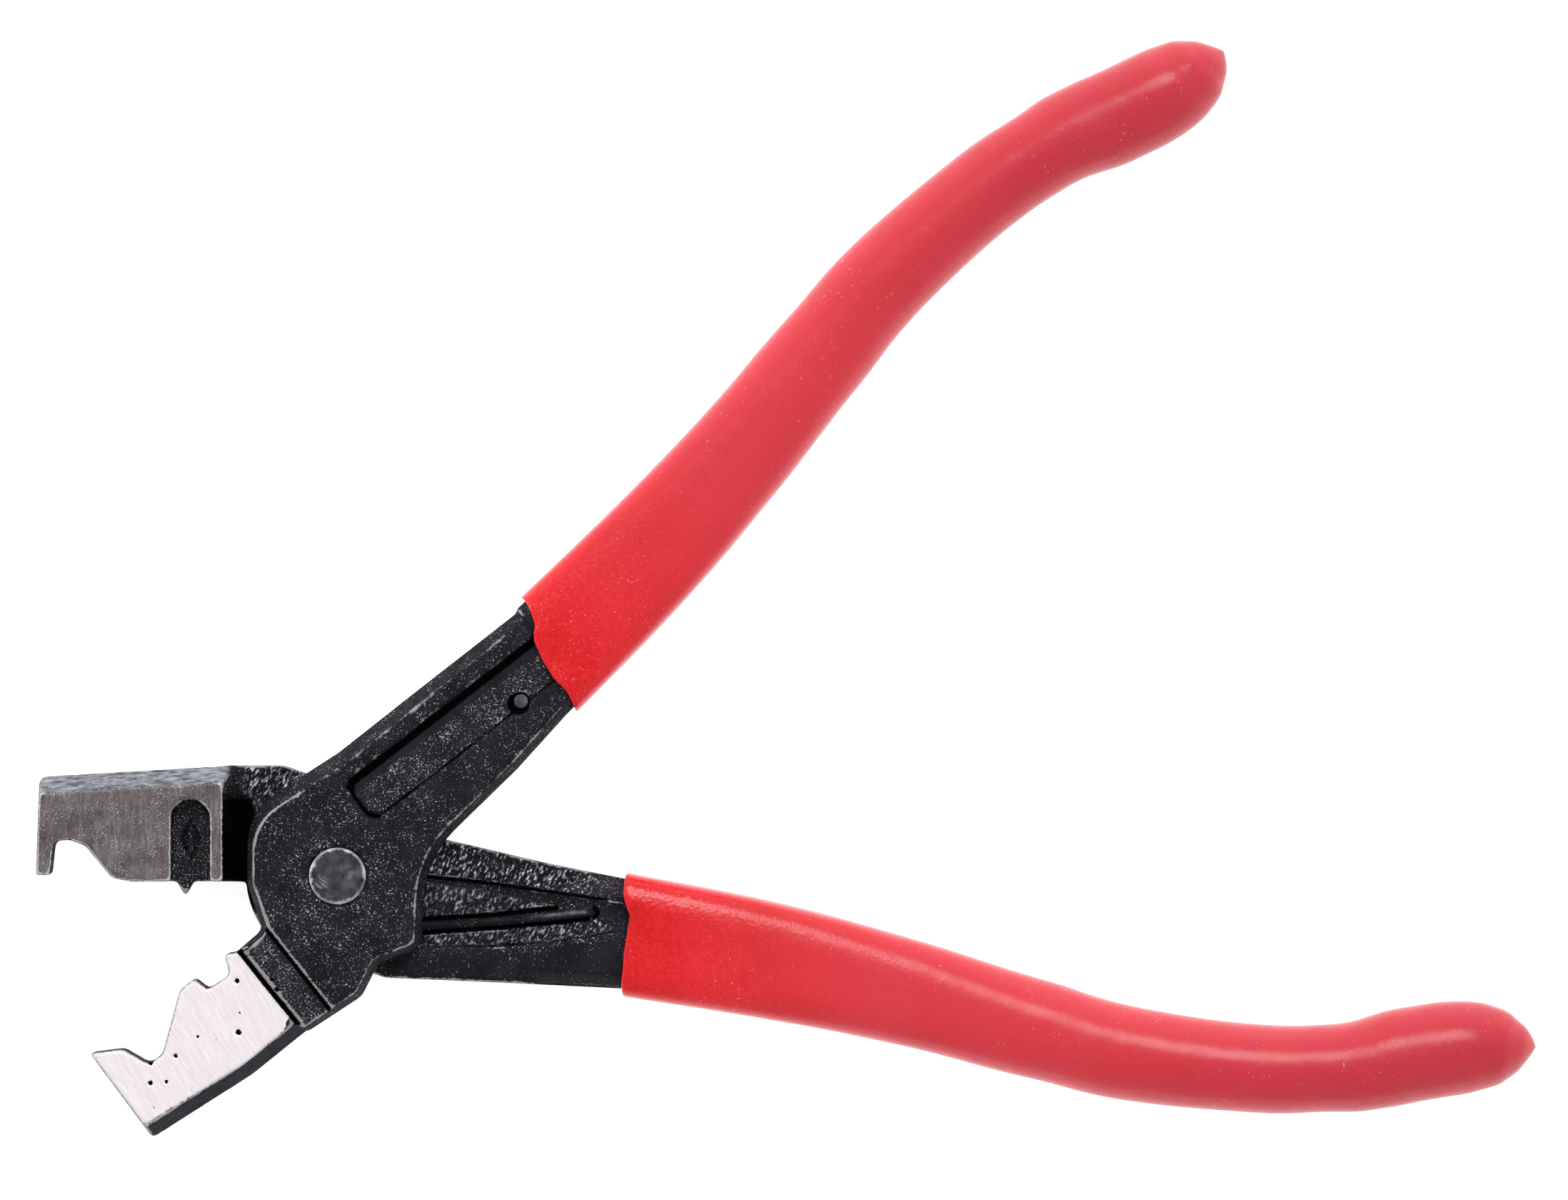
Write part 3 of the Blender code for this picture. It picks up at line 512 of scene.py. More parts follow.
# Lines pressed into the top of each lever, in millimetres
PANEL_TOP = on_handle("front", (9.7, 7.9), (10.4, 8.25), (46.0, 5.1))
PANEL_END = on_handle("front", (9.8, 7.9), (9.2, 6.5), (9.0, 3.4), (9.9, 2.2))
PANEL_FOOT = on_handle("front", (9.9, 2.2), (20.0, 1.2), (46.0, -1.0))
JAW_LINE = ((-13.7, -10.5), (-9.9, -15.3), (-5.5, -20.7))
HUB_LINE = ((-10.6, -6.6), (-0.9, -18.9))
LAP_TOP = ((11.5, -0.1), (20.7, -1.05), (30.4, -2.4), (37.5, -3.35))
LAP_FOOT = ((11.5, -10.0), (22.6, -9.85), (29.0, -9.35), (34.3, -8.65), (38.5, -7.8))
ABOVE_RIB = ((12.0, -6.15), (22.0, -5.55), (30.5, -4.55))
BELOW_RIB = ((12.0, -8.0), (22.6, -7.3), (32.4, -6.35), (35.0, -6.0))
RIB_END = ((35.9, -5.9), (36.4, -5.2), (35.9, -4.5))
# Each lever's pressed lines, with their half widths and depths
GROOVES = {
    "front_lever": (
        (PANEL_TOP, 0.85, 0.38), (PANEL_END, 0.55, 0.22), (PANEL_FOOT, 0.34, 0.13),
        (JAW_LINE, 0.52, 0.62), (HUB_LINE, 0.42, 0.36),
    ),
    "rear_lever": (
        (LAP_TOP, 0.42, 0.26), (LAP_FOOT, 0.30, 0.14),
        (ABOVE_RIB, 0.50, 0.55), (BELOW_RIB, 0.46, 0.55), (RIB_END, 0.40, 0.40),
    ),
}
# The black at a groove's bottom is painted shade
BLACK_DEPTH = 0.35  # a groove this deep or deeper is black at its bottom

# The rib between its grooves, and where the other lever's hub never reaches it
RIB_LINE = ((12.0, -7.05), (22.6, -6.45), (32.4, -5.4), (35.0, -5.15))
RIB_HALF = 0.72
RIB_RISE = 0.38
SWEEP = (15.8, 18.5)

# The lower jaw's ground face: its ragged lower edge, its rounded corner and its pits
JAW_EDGE = ((-26.7, -34.7), (-12.2, -26.2), (-6.2, -20.6))
JAW_CORNER = ((-6.3, -20.7), (-6.2, -20.6))
PITS = (  # place and radius
    (-13.9, -21.8, 0.42), (-22.7, -25.1, 0.30), (-26.2, -26.1, 0.34), (-26.2, -28.9, 0.34),
    (-24.0, -28.7, 0.24), (-14.1, -14.6, 0.36), (-8.5, -15.8, 0.32), (-9.2, -14.4, 0.24),
    (-17.0, -14.2, 0.22), (-19.6, -22.4, 0.22),
)
PIT_LENGTH = 0.1
PIT_DEPTH = 0.18

# The upper jaw: its slot's middle line, the pip on the slot's floor, and a height just under its face
SLOT_X = -20.6
SLOT_LINE = ((SLOT_X, 0.0), (SLOT_X, 9.0))
PIP_Y, PIP_HALF_WIDTH, PIP_HALF_LENGTH = 5.2, 1.35, 2.7
UNDER_FACE = 10.9

# The front lever's panel: its upper and lower edge, as distances along the handle and offsets
PANEL_UPPER = ((9.3, 50.0), (8.8, 5.2))
PANEL_LOWER = ((8.7, 50.0), (2.0, -1.5))
# Where the strip before the lower jaw starts, and the way from there to the jaw
STRIP_START, STRIP_WAY = (-10.9, -6.14), (-0.784, -0.621)
# The dark round the pin is painted shade, off centre to the pin's lower left
PIN_SHADE = (-0.35, -0.30)  # the middle of the dark round the pin, from the pin's own

RIVET_SPOT, RIVET_CALM = ((0.0, 0.0), (0.0, 0.1)), 5.0  # no edge is worn this near to the rivet's axis


# ---------------------------------------------------------------- forged levers


def half_of(node, axis, keep_near):
    """The part of a CAD node on one side of the plane where its tang enters the grip, closed there."""
    shape = bmesh.new()
    shape.from_mesh(frame["nodes"][node].data)
    bmesh.ops.remove_doubles(shape, verts=shape.verts, dist=WELD)
    geometry = shape.verts[:] + shape.edges[:] + shape.faces[:]
    cut = bmesh.ops.bisect_plane(
        shape, geom=geometry, dist=WELD / 10, plane_co=axis * FINE_END, plane_no=axis,
        clear_outer=keep_near, clear_inner=not keep_near,
    )
    rim = [e for e in cut["geom_cut"] if isinstance(e, bmesh.types.BMEdge)]
    bmesh.ops.holes_fill(shape, edges=rim, sides=0)
    bmesh.ops.triangulate(shape, faces=shape.faces)
    mesh = bpy.data.meshes.new(node + " half")
    shape.to_mesh(mesh)
    shape.free()
    return mesh


def skin_tree():
    """Geometry nodes that raise a forged skin: pebbles along the normal, deeper where it is rough."""
    group = bpy.data.node_groups.new("forged_skin", "GeometryNodeTree")
    face = group.interface
    face.new_socket("Geometry", in_out="INPUT", socket_type="NodeSocketGeometry")
    inputs = new_inputs(face, "NodeSocketFloat", (
        ("Pebble size", 0.9 * MM), ("Even depth", 0.05 * MM), ("Rough depth", 0.16 * MM), ("Seed", 3.0),
    ))
    face.new_socket("Geometry", in_out="OUTPUT", socket_type="NodeSocketGeometry")
    tree = Tree(group)
    given = tree.add("NodeGroupInput").outputs
    place = tree.add("GeometryNodeInputPosition").outputs[0]

    def mask(name):
        node = tree.add("GeometryNodeInputNamedAttribute", {"Name": name}, data_type="FLOAT")
        return node.outputs["Attribute"]

    scale = tree.math("DIVIDE", 1.0, given["Pebble size"])
    pebbles = tree.seeded_noise(place, given["Seed"], scale, 2.0, 0.55)
    depth = tree.blend(mask("rough"), given["Even depth"], given["Rough depth"])
    unground = tree.minus(1.0, mask("ground"))
    lift = tree.times(tree.minus(pebbles, NOISE_TOP), depth, unground)
    tree.add("NodeGroupOutput", {0: tree.lifted(given["Geometry"], lift)})
    return group, inputs


def press_lines(node, points, normals):
    """Sinks the grooves, raises the rib, and gives back how deep in a groove each point lies, from 0 to 1,
    which the finish paints as shade.
    """
    facing = smooth(0.2, 0.6, normals[:, 2])
    sunk = np.zeros(len(points))
    for path, half_width, depth in GROOVES[node]:
        share = (1 - smooth(0.1, 1.0, distance_to(path, points) / half_width)) * facing
        points[:, 2] -= depth * MM * share
        sunk = np.maximum(sunk, share * min(1.0, depth / BLACK_DEPTH))
    if node == "front_lever":
        for x, y, radius in PITS:
            pit = ((x, y), (x + PIT_LENGTH, y - PIT_LENGTH))
            share = (1 - smooth(0.4, 1.3, distance_to(pit, points) / radius)) * facing
            points[:, 2] -= PIT_DEPTH * MM * share
            sunk = np.maximum(sunk, share)
    else:
        beyond = smooth(*SWEEP, np.hypot(points[:, 0], points[:, 1]) / MM)
        share = np.clip(1 - (distance_to(RIB_LINE, points) / RIB_HALF) ** 2, 0, 1) * facing * beyond
        points[:, 2] += RIB_RISE * MM * share
    return sunk


def rear_skin(points, normals):
    """Where the rear lever's skin is rough, where shade is painted black, where it is pale with a painted
    sheen or highlight, and how many painted glints it has.
    """
    x, y, z = points.T / MM
    up = smooth(0.35, 0.75, normals[:, 2])
    over_top = y - np.interp(x, *zip(*LAP_TOP))
    over_rib = y - np.interp(x, *zip(*RIB_LINE))
    over_foot = y - np.interp(x, *zip(*LAP_FOOT))

    # The lap side of the shank, in three bands that fade out towards the grip, and the neck
    lap = smooth(7.0, 8.5, x) * up
    upper = smooth(0.25, 0.6, over_top) * (1 - 0.8 * smooth(32.0, 38.5, x))
    calm = np.interp(x, (13.0, 36.0), (0.7, 1.9))
    middle = smooth(0.0, 0.5, -over_top - calm) * smooth(0.75, 1.0, over_rib) * (1 - smooth(31.0, 34.0, x))
    lower = smooth(0.75, 0.95, -over_rib) * smooth(0.1, 0.4, over_foot) * (1 - smooth(36.0, 39.0, x))
    neck = smooth(-13.6, -12.4, x) * (1 - smooth(-2.0, 2.0, x)) * smooth(8.0, 11.5, y) * up
    rough = np.clip(lap * np.maximum(np.maximum(upper, 0.6 * middle), 0.8 * lower) + neck, 0, 1)

    # The jaw's upper side, which faces the light, is pale, partly rough bare steel and partly a painted
    # sheen; the rib's end has a painted highlight
    jaw_top_bare_and_lit = smooth(-14.9, -15.9, x) * smooth(0.15, 0.45, normals[:, 1]) * smooth(8.0, 11.0, y)
    brightened = 0.5 * np.exp(-(((over_rib - 0.2) / 0.3) ** 2)) * smooth(26.0, 31.0, x) * (x < 34.8) * up

    # The wall at the neck and a line round the slot's pip are painted black as shade
    wall = smooth(-16.3, -16.0, x) * (1 - smooth(-12.8, -10.9, x)) * smooth(UNDER_FACE + 0.2, UNDER_FACE, z)
    wall = wall * (1 - 0.8 * smooth(8.5, 12.5, y))
    from_pip = np.abs(x - SLOT_X) / PIP_HALF_WIDTH + np.abs(y - PIP_Y) / PIP_HALF_LENGTH
    halo = 0.5 * np.exp(-(((from_pip - 1.0) / 0.24) ** 2)) * (np.abs(x - SLOT_X) < 2.4) * (z < UNDER_FACE)

    slot = (np.abs(x - SLOT_X - 0.2) < 2.8) * (z < UNDER_FACE) * (y < 11.5)
    glint = 0.25 + 0.15 * slot + 0.5 * neck
    glint -= lap * (0.6 * smooth(0.0, 2.5, -over_foot) + 0.5 * (np.abs(over_rib) < 0.8))
    return rough, np.maximum(wall, halo), np.maximum(jaw_top_bare_and_lit, brightened), glint


def front_skin(points, normals):
    """Where the front lever's skin is rough, where shade is painted round the pin, where it is pale, and how
    many painted glints it has.
    """
    x, y, z = points.T / MM
    along, offset = handle_places("front", points)
    up = smooth(0.5, 0.8, normals[:, 2])
    below_top = np.interp(along, *PANEL_UPPER) - offset
    above_foot = offset - np.interp(along, *PANEL_LOWER)
    panel = smooth(9.4, 9.8, along) * smooth(0.9, 1.1, below_top) * smooth(0.1, 0.4, above_foot) * up
    field = panel * smooth(1.5, 2.3, below_top)
    hub = np.exp(-((np.hypot(x + 0.8, y + 1.2) / 7.5) ** 2))
    jaw_wall = smooth(-4.0, -6.0, x) * smooth(-17.0, -19.0, y) * (normals[:, 2] < 0.7)
    past_start = (x - STRIP_START[0]) * STRIP_WAY[0] + (y - STRIP_START[1]) * STRIP_WAY[1]
    strip = smooth(0.3, 1.2, past_start) * (z > 11.4) * up
    # Painted shade: a dark ring round the pin, set off towards its lower left
    to_pin = np.hypot(x - PIN_PLACE[0] / MM - PIN_SHADE[0], y - PIN_PLACE[1] / MM - PIN_SHADE[1])
    shade = 1 - smooth(1.35, 1.75, to_pin)
    glint = 0.10 + 0.35 * field + 0.45 * hub - 1.2 * (panel - field) - 0.8 * jaw_wall + 0.4 * strip
    return 0.05 * field + 0.08 * strip, shade, 0.06 * jaw_wall, glint


def lever_masks(mesh, node, points, normals, edges, sunk):
    """Gives each point of the forging the numbers that its finish follows."""
    up = normals[:, 2]
    ground = smooth(0.55, 0.8, np.abs(up)) * (points[:, 0] < GROUND_TO[node])
    ground = ground * (np.abs(points[:, 2] - MIDDLE) < JAW_FACE + 0.25 * MM) * (1 - sunk)
    if node == "front_lever":
        ground = ground * smooth(0.7, 1.1, distance_to(JAW_CORNER, points))
        ground = ground * (0.5 + 0.5 * smooth(0.1, 0.8, distance_to(JAW_EDGE, points)))
        in_panel = [distance_to(path, points) < 1.3 for path in (PANEL_TOP, PANEL_END, PANEL_FOOT)]
        by_rivet = distance_to(RIVET_SPOT, points) < RIVET_CALM
        unworn = np.maximum(0.5 * np.any(in_panel, axis=0), by_rivet)
        worn_at = 0.16 - 0.05 * smooth(-5.0, -8.0, points[:, 0] / MM)
        rough, black, pale, glint = front_skin(points, normals)
    else:
        unworn = np.maximum(distance_to(RIB_LINE, points) < 1.2, distance_to(SLOT_LINE, points) < 1.9)
        worn_at = 0.16
        rough, black, pale, glint = rear_skin(points, normals)
    swell = np.einsum("ij,ij->i", points - relaxed(points, edges, WIDE_RELAX), normals) / MM
    # The deep mask, which the finish paints as shade, takes in hollows, grooves and the places the skins mark
    # black
    values = {
        "ground": ground,
        "bright": np.full(len(points), float(node == "front_lever")),
        "worn": smooth(0.035, worn_at, swell) * (up > -0.3) * (1 - unworn),
        "rough": np.clip(rough, 0, 1),
        "deep": np.clip(smooth(0.07, 0.26, -swell) + sunk + black, 0, 1),
        "pale": pale,
        "glint": glint,
        "wall": 1 - smooth(0.45, 0.80, np.abs(up)),
    }
    for name in MASKS:
        set_mask(mesh, name, values[name])


def make_lever(side, steel, skin):
    """The lever as forged: its edges softened, its skin pebbled, its tang kept plain inside the grip."""
    node = side + "_lever"
    angle = math.radians(HANDLES[side][0])
    axis = Vector((math.cos(angle), math.sin(angle), 0.0))
    half = half_of(node, axis, True)
    half.transform(GRID_TURN.to_4x4())
    near = new_object(node + " near", half)
    remesh = near.modifiers.new("skin", "REMESH")
    remesh.mode = "VOXEL"
    remesh.voxel_size = VOXEL
    apply_modifiers(near)
    mesh = near.data
    mesh.transform(GRID_TURN.inverted().to_4x4())
    edges = edges_of(mesh)
    points = relaxed(points_of(mesh), edges, FACE_RELAX)
    set_points(mesh, points)
    normals = normals_of(mesh)
    if node == "front_lever":
        radius = np.hypot(points[:, 0], points[:, 1])
        dish = np.exp(-(((radius - RING_RADIUS) / RING_WIDTH) ** 2)) * (normals[:, 2] > 0.7)
        dish *= smooth(1.0 * MM, 5.0 * MM, points[:, 0])
        points[:, 2] -= RING_DEPTH * dish
    sunk = press_lines(node, points, normals)
    set_points(mesh, points)
    lever_masks(mesh, node, points, normals_of(mesh), edges, sunk)
    group, inputs = skin
    modifier = near.modifiers.new("forged skin", "NODES")
    modifier.node_group = group
    modifier[inputs["Seed"]] = 3.0 if side == "front" else 8.0
    apply_modifiers(near)

    far = half_of(node, axis, False)
    for name in MASKS:
        set_mask(far, name, np.zeros(len(far.vertices)))
    shape = bmesh.new()
    shape.from_mesh(near.data)
    shape.from_mesh(far)
    whole = bpy.data.meshes.new(side + "_lever_forging")
    shape.to_mesh(whole)
    shape.free()
    whole.materials.append(steel)
    whole.shade_smooth()
    bpy.data.objects.remove(near, do_unlink=True)
    made = new_object(side + "_lever_forging", whole)
    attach(made, side + "_side")
    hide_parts(node)


# ---------------------------------------------------------------- dipped grips

# A grip's cross sections: share of the way to the tip, then offset, width and how much thinner than
# the mouth in millimetres, and the power of the rounding, from 2 for an ellipse upwards
SECTIONS = (
    (0.0, 2.55, 17.3, 0.0, 5.0),
    (0.155, 3.3, 16.4, 0.1, 4.2),
    (0.31, 5.0, 15.0, 0.2, 3.1),
    (0.464, 7.7, 13.9, 0.3, 2.35),
    (0.603, 9.35, 12.9, 0.4, 2.15),
    (0.695, 8.95, 12.4, 0.4, 2.1),
    (0.773, 7.6, 12.4, 0.3, 2.1),
    (0.85, 4.7, 14.1, 0.0, 2.1),
    (0.912, 2.35, 13.5, 0.1, 2.1),
    (0.951, 1.5, 11.6, 1.7, 2.0),
    (0.978, 1.1, 7.8, 5.2, 2.0),
    (0.994, 0.6, 3.2, 9.8, 2.0),
    (1.0, 0.45, 0.0, 13.0, 2.0),
)
# Each mouth's place along its handle, and how much it slants
MOUTHS = {"front": (42.5 * MM, 0.30), "rear": (40.7 * MM, 0.12)}
# How far each mouth's edge runs past a straight line, in millimetres, from its inner side (-1) to its
# outer side (1)
MOUTH_WAVES = {
    "front": (
        (-1.0, 0.0), (-0.72, 0.1), (-0.5, -0.3), (-0.34, -0.8), (-0.1, -1.1), (0.22, -1.1), (0.4, -0.6),
        (0.5, 0.2), (0.8, 0.5), (1.0, 0.0),
    ),
    "rear": (
        (-1.0, 0.1), (-0.68, -0.15), (-0.46, 0.3), (-0.26, 0.88), (-0.15, 0.8), (0.02, 0.4), (0.18, 0.04),
        (0.5, 0.0), (0.78, -0.2), (1.0, 0.0),
    ),
}
WAVE_SPAN = 4.0  # the millimetres that a curve from 0 to 1 stands for
WAVE_REACH = 2.0 * MM
# Dents where the vinyl sinks into the panel under it: side of the lever (+1 up), distance along,
# offset, half length, half width and depth, in millimetres
DENTS = {
    "front": ((1, 42.4, 1.8, 3.6, 3.4, 0.60), (-1, 42.4, 2.2, 4.0, 2.6, 0.40)),
    "rear": ((1, 41.6, 0.6, 2.6, 2.4, 0.50), (-1, 42.2, 2.6, 3.6, 3.0, 0.45)),
}


def grip_tree(side):
    """Geometry nodes for one grip: a sleeve swept along the handle, inside from its end to its mouth,
    over the rounded lip and outside to the tip."""
    group = bpy.data.node_groups.new(side + "_grip_sleeve", "GeometryNodeTree")
    face = group.interface
    mouth, slant = MOUTHS[side]
    angle, outward = HANDLES[side]
    new_inputs(face, "NodeSocketFloat", (
        ("Mouth", mouth), ("Slant", slant), ("Start", GRIP_START), ("Tip", GRIP_TIP),
        ("Thickness", THICKNESS), ("Mouth wall", MOUTH_WALL), ("End wall", END_WALL), ("Outward", outward),
        ("Angle", math.radians(angle)), ("Ripple", RIPPLE), ("Seed", 1.0 if side == "front" else 5.0),
    ))
    new_inputs(face, "NodeSocketInt", (("Rings", GRIP_RINGS), ("Sides", GRIP_SIDES)))
    vinyl = face.new_socket("Vinyl", in_out="INPUT", socket_type="NodeSocketMaterial").identifier
    face.new_socket("Geometry", in_out="OUTPUT", socket_type="NodeSocketGeometry")
    tree = Tree(group)
    given = tree.add("NodeGroupInput").outputs
    grid = tree.add("GeometryNodeMeshGrid", {
        "Size X": 1.0, "Size Y": 1.0, "Vertices X": given["Rings"],
        "Vertices Y": tree.plus(given["Sides"], 1.0),
    })
    u, v, _ = tree.separate(grid.outputs["UV Map"])

    # From the way in (u) to how far along the handle, as a share of start to tip. The lip turns at lip_u,
    # and the rings lie closer together near the mouth and towards the tip
    lip_u, lip_half = 0.24, 0.012
    lip_share, lip = (mouth - GRIP_START) / GRIP_LENGTH, LIP_RADIUS / GRIP_LENGTH
    cavity_end = (CAVITY_END - GRIP_START) / GRIP_LENGTH
    along_stops = (
        (0.0, cavity_end), (0.004, cavity_end),
        (lip_u - lip_half, lip_share + lip), (lip_u, lip_share), (lip_u + lip_half, lip_share + lip),
        (0.30, lip_share + 0.055), (0.84, 0.88), (1.0, 1.0),
    )
    share = tree.curve(u, along_stops, straight=range(len(along_stops)))

    # How deep in the wall: inside, round the lip, and outside. The sleeve closes at its inner end
    inset_stops = (
        (0.0, 1.0), (lip_u - lip_half, 1.0), (lip_u - 0.5 * lip_half, 0.83), (lip_u, 0.5),
        (lip_u + 0.5 * lip_half, 0.17), (lip_u + lip_half, 0.0), (1.0, 0.0),
    )
    inset = tree.curve(u, inset_stops, straight=(0, 1, 5, 6))
    closed = tree.curve(u, ((0.0, 0.0), (0.003, 1.0), (1.0, 1.0)), straight=(0, 1, 2))

    def section(column, most):
        """One column of the sections along the handle. A curve holds 0 to 1, so most is its scale."""
        scaled = [(row[0], row[column] / most) for row in SECTIONS]
        return tree.times(tree.curve(share, scaled), most)

    offset, width, thinner, power = section(1, 10.0), section(2, 20.0), section(3, 13.0), section(4, 6.0)
    depth = tree.times(inset, tree.blend(share, given["Mouth wall"], given["End wall"]))
    height = tree.times(tree.minus(given["Thickness"], tree.times(thinner, MM)), 0.5)
    half_width = tree.minus(tree.times(width, 0.5 * MM), depth)
    half_height = tree.minus(height, depth)

    turn = tree.times(v, 2 * math.pi)
    bend = tree.math("DIVIDE", 2.0, power)

    def rounded(wave, half):
        """How far out the section's edge lies on one axis, as the turn goes round."""
        part = tree.math(wave, turn)
        size = tree.math("POWER", tree.math("ABSOLUTE", part), bend)
        half = tree.times(tree.math("MAXIMUM", half, 0.0), closed)
        return tree.times(tree.math("SIGN", part), size, half)

    side_way, rise = rounded("COSINE", half_width), rounded("SINE", half_height)

    # The mouth slants and waves, and both die away along the grip
    along = tree.blend(share, given["Start"], given["Tip"])
    past = tree.minus(along, given["Mouth"])
    lean = tree.math("SUBTRACT", 1.0, tree.math("DIVIDE", past, MOUTH_FADE), clamp=True)
    leaning = tree.times(given["Slant"], lean, side_way)
    across = tree.math("MULTIPLY_ADD", tree.math("DIVIDE", side_way, MOUTH_HALF_WIDTH), 0.5, 0.5)
    wave = tree.curve(across, [(0.5 + 0.5 * s, 0.5 + d / WAVE_SPAN) for s, d in MOUTH_WAVES[side]])
    near = tree.math("EXPONENT", tree.times(tree.math("DIVIDE", past, WAVE_REACH), -1.0))
    waving = tree.times(tree.minus(wave, 0.5), WAVE_SPAN * MM, near)
    along = tree.plus(along, leaning, waving)
    across_all = tree.plus(tree.times(offset, MM), side_way)

    local = tree.combine(along, tree.times(across_all, given["Outward"]), rise)
    placed = tree.add("GeometryNodeSetPosition", {"Geometry": grid.outputs["Mesh"], "Position": local})
    welded = tree.add("GeometryNodeMergeByDistance", {"Geometry": placed.outputs[0], "Distance": WELD / 2})
    sleeve = tree.add("GeometryNodeFlipFaces", {"Mesh": welded.outputs[0]}).outputs[0]

    place = tree.add("GeometryNodeInputPosition").outputs[0]
    ripples = tree.seeded_noise(place, given["Seed"], 110.0, 1.5, 0.5)
    rippled = tree.lifted(sleeve, tree.times(tree.minus(ripples, NOISE_TOP), given["Ripple"]))
    turned = tree.add("GeometryNodeTransform", {
        "Geometry": rippled, "Translation": (0.0, 0.0, MIDDLE), "Rotation": tree.combine(z=given["Angle"]),
    })
    shaded = tree.add("GeometryNodeSetShadeSmooth", {"Geometry": turned.outputs[0]})
    real = tree.add("GeometryNodeRealizeInstances", {"Geometry": shaded.outputs[0]})
    finished = tree.add("GeometryNodeSetMaterial", {"Geometry": real.outputs[0], "Material": given["Vinyl"]})
    tree.add("NodeGroupOutput", {0: finished.outputs[0]})
    return group, vinyl


def make_grip(side, vinyl):
    """A dipped sleeve, with its dents pressed in once it is a plain mesh."""
    base = new_object(side + " grip base", bpy.data.meshes.new(side + " grip base"))
    group, vinyl_input = grip_tree(side)
    modifier = base.modifiers.new("sleeve", "NODES")
    modifier.node_group = group
    modifier[vinyl_input] = vinyl
    mesh = evaluated_mesh(base)
    bpy.data.objects.remove(base, do_unlink=True)
    mesh.name = side + "_grip_vinyl"
    shape = bmesh.new()
    shape.from_mesh(mesh)
    face_outwards(shape)
    shape.to_mesh(mesh)
    shape.free()
    points = points_of(mesh)
    along, offset = handle_places(side, points)
    for up, at, across, half_length, half_width, depth in DENTS[side]:
        away = np.hypot((along - at) / half_length, (offset - across) / half_width)
        dip = depth * MM * (1 - smooth(0.45, 1.0, away)) * (up * (points[:, 2] - MIDDLE) > 0)
        points[:, 2] -= up * dip
    set_points(mesh, points)
    set_mask(mesh, "along", (along * MM - GRIP_START) / GRIP_LENGTH)
    mesh.shade_smooth()
    made = new_object(side + "_grip_vinyl", mesh)
    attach(made, side + "_side")
    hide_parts(side + "_grip")


# ---------------------------------------------------------------- rivet and pin

RIVET_SPREAD = 0.06 * MM  # how far hammering spread the heads past the solid's
RIVET_SHANK = 3.0 * MM
RIVET_UNDER = 0.95 * MM  # from a head's flat end to its underside
RIVET_EDGE = 0.32 * MM
RIVET_CROWN = 0.02 * MM
PIN_SHARE = 0.86  # how much of its hole's width the pin's worn end fills
PIN_EDGE = 0.22 * MM


def turned_piece(name, profile, centre, sides, unevenness):
    """A solid turned from (radius, height) pairs, its outline a little uneven, as hammered steel is."""
    shape = bmesh.new()
    rings = []
    for radius, height in profile:
        ring = []
        for k in range(sides):
            angle = 2 * math.pi * k / sides
            wobble = math.sin(2 * angle + 0.6) + 0.6 * math.sin(5 * angle) + 0.4 * math.sin(9 * angle + 2)
            out = radius * (1 + unevenness * wobble)
            place = (centre[0] + out * math.cos(angle), centre[1] + out * math.sin(angle), height)
            ring.append(shape.verts.new(place))
        rings.append(ring)
    for low, high in zip(rings, rings[1:]):
        for k in range(sides):
            shape.faces.new((low[k], low[(k + 1) % sides], high[(k + 1) % sides], high[k]))
    for ring, height in ((rings[0], profile[0][1]), (rings[-1], profile[-1][1])):
        hub = shape.verts.new((*centre, height))
        for k in range(sides):
            shape.faces.new((ring[k], ring[(k + 1) % sides], hub))
    face_outwards(shape)
    mesh = bpy.data.meshes.new(name)
    shape.to_mesh(mesh)
    shape.free()
    mesh.shade_smooth()
    mesh.set_sharp_from_angle(angle=math.radians(40))
    return new_object(name, mesh)


def fillet(radius, height, size, steps, downwards):
    """Points of a rounded edge from a turned side onto a flat end."""
    pairs = []
    for k in range(steps + 1):
        turn = math.pi / 2 * k / steps
        inwards, rise = size * (1 - math.cos(turn)), size * (1 - math.sin(turn))
        pairs.append((radius - inwards, height + rise if downwards else height - rise))
    return pairs


def make_rivet():
    low, high = RIVET_BOX
    head = (high[0] - low[0]) / 2 + RIVET_SPREAD
    top = fillet(head, high[2], RIVET_EDGE, 5, False)
    bottom = fillet(head, low[2], RIVET_EDGE, 5, True)[::-1]
    dome = [(head * share, high[2] - RIVET_CROWN * (1 - share)) for share in (0.8, 0.5, 0.2)]
    dished = [(head * share, low[2] + RIVET_CROWN * (1 - share)) for share in (0.2, 0.5, 0.8)]
    profile = [
        *dished, *bottom, (head, low[2] + RIVET_UNDER), (RIVET_SHANK, low[2] + RIVET_UNDER),
        (RIVET_SHANK, high[2] - RIVET_UNDER), (head, high[2] - RIVET_UNDER), *top, *dome,
    ]
    made = turned_piece("pivot_rivet_steel", profile, (0.0, 0.0), 128, 0.0035)
    dark, pale = (0.010, 0.009, 0.014), (0.078, 0.073, 0.086)
    steel = rivet_steel("worn_rivet_steel", dark, pale, head, 0.50 * MM, (0.0, 0.0, 0.0))
    made.data.materials.append(steel)
    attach(made, "rear_side")
    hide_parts("pivot_rivet")


def make_pin():
    low, high = PIN_BOX
    radius = PIN_SHARE * (high[0] - low[0]) / 2
    profile = [(radius, low[2]), *fillet(radius, high[2], PIN_EDGE, 4, False), (0.4 * radius, high[2])]
    made = turned_piece("shank_pin_steel", profile, PIN_PLACE, 48, 0.006)
    # The rim lies outside the pin, so that none of it is rubbed bright
    dark, pale = (0.030, 0.030, 0.036), (0.075, 0.075, 0.085)
    steel = rivet_steel("pin_steel", dark, pale, 1.5 * radius, 0.05 * MM, (*PIN_PLACE, 0.0))
    made.data.materials.append(steel)
    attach(made, "front_side")
    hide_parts("shank_pin")


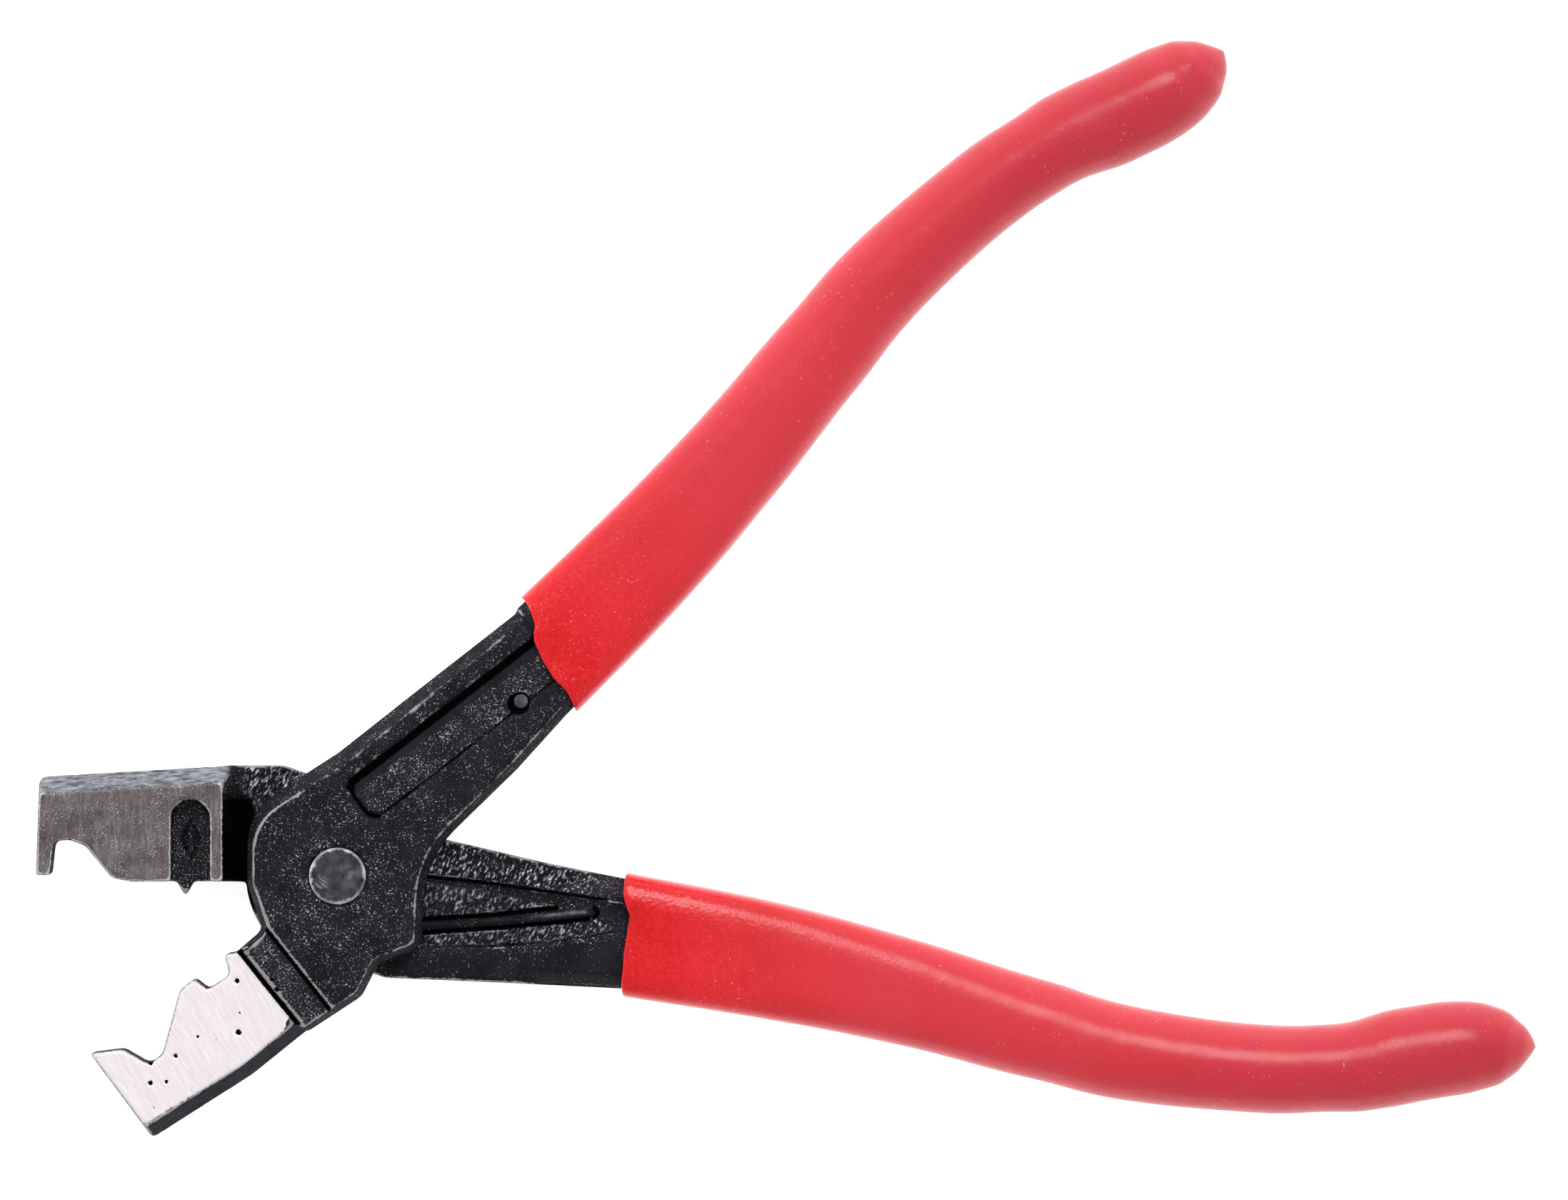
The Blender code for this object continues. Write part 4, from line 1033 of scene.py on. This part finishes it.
# ---------------------------------------------------------------- camera, floor and light

FRAME_CENTRE = (62.39 * MM, 38.55 * MM)
FRAME_WIDTH = 219.6 * MM
CAMERA_HEIGHT = 2.4
FLOOR_HALF = 3.0
# The dome's brightness at the horizon and overhead, and how much it gains towards +Y
DOME_HORIZON, DOME_TOP, DOME_GAIN = 1.25, 0.50, 0.38
# A round softbox high on the dome: the way to it, how bright it is, and where its edge fades
SOFTBOX = (0.04, 0.50, 0.865)
SOFTBOX_LIGHT = 8.5
SOFTBOX_EDGE = (0.968, 0.99)


def make_camera():
    data = bpy.data.cameras.new("camera")
    data.sensor_width = 36.0
    data.lens = data.sensor_width * (CAMERA_HEIGHT - MIDDLE) / FRAME_WIDTH
    camera = new_object("camera", data)
    camera.location = (*FRAME_CENTRE, CAMERA_HEIGHT)
    bpy.context.scene.camera = camera


def make_floor():
    mesh = bpy.data.meshes.new("floor")
    corners = [(x * FLOOR_HALF, y * FLOOR_HALF, 0) for x, y in ((-1, -1), (1, -1), (1, 1), (-1, 1))]
    mesh.from_pydata(corners, [], [(0, 1, 2, 3)])
    floor = new_object("floor", mesh)
    material, _, shader, _ = painted("white_floor")
    shader.inputs["Base Color"].default_value = (0.60, 0.60, 0.605, 1.0)
    shader.inputs["Roughness"].default_value = 0.9
    shader.inputs["Specular IOR Level"].default_value = 0.1
    shader.inputs["Emission Color"].default_value = (1.0, 1.0, 1.0, 1.0)
    shader.inputs["Emission Strength"].default_value = 0.85
    mesh.materials.append(material)


def soft_light(name, place, aim, width, height, power):
    data = bpy.data.lights.new(name, "AREA")
    data.shape = "RECTANGLE"
    data.size, data.size_y = width, height
    data.energy = power
    lamp = new_object(name, data)
    lamp.location = place
    lamp.rotation_euler = (Vector(aim) - Vector(place)).to_track_quat("-Z", "Y").to_euler()


def make_light():
    world = bpy.data.worlds.new("studio")
    world.use_nodes = True
    tree = Tree(world.node_tree)
    way = tree.add("ShaderNodeTexCoord").outputs["Generated"]
    _, across, height = tree.separate(way)
    dome = tree.blend(tree.math("ABSOLUTE", height), DOME_HORIZON, DOME_TOP)
    dome = tree.times(dome, tree.math("MULTIPLY_ADD", across, DOME_GAIN, 1.0))
    facing = tree.add("ShaderNodeVectorMath", {0: way, 1: SOFTBOX}, operation="DOT_PRODUCT").outputs["Value"]
    dome = tree.math("MULTIPLY_ADD", tree.ramp(facing, *SOFTBOX_EDGE), SOFTBOX_LIGHT, dome)
    back = world.node_tree.nodes["Background"]
    back.inputs["Color"].default_value = (0.98, 0.99, 1.0, 1.0)
    tree.put(back.inputs["Strength"], dome)
    bpy.context.scene.world = world
    soft_light("side", (-0.85, 0.35, 0.50), (0.06, 0.04, 0.0), 0.4, 0.3, 1.2)
    bpy.context.scene.view_settings.view_transform = "Standard"


# ---------------------------------------------------------------- the whole

make_camera()
make_floor()
make_light()
steel = forged_steel()
skin = skin_tree()
vinyl = dipped_vinyl()
for side in HANDLES:
    make_lever(side, steel, skin)
    make_grip(side, vinyl)
make_rivet()
make_pin()
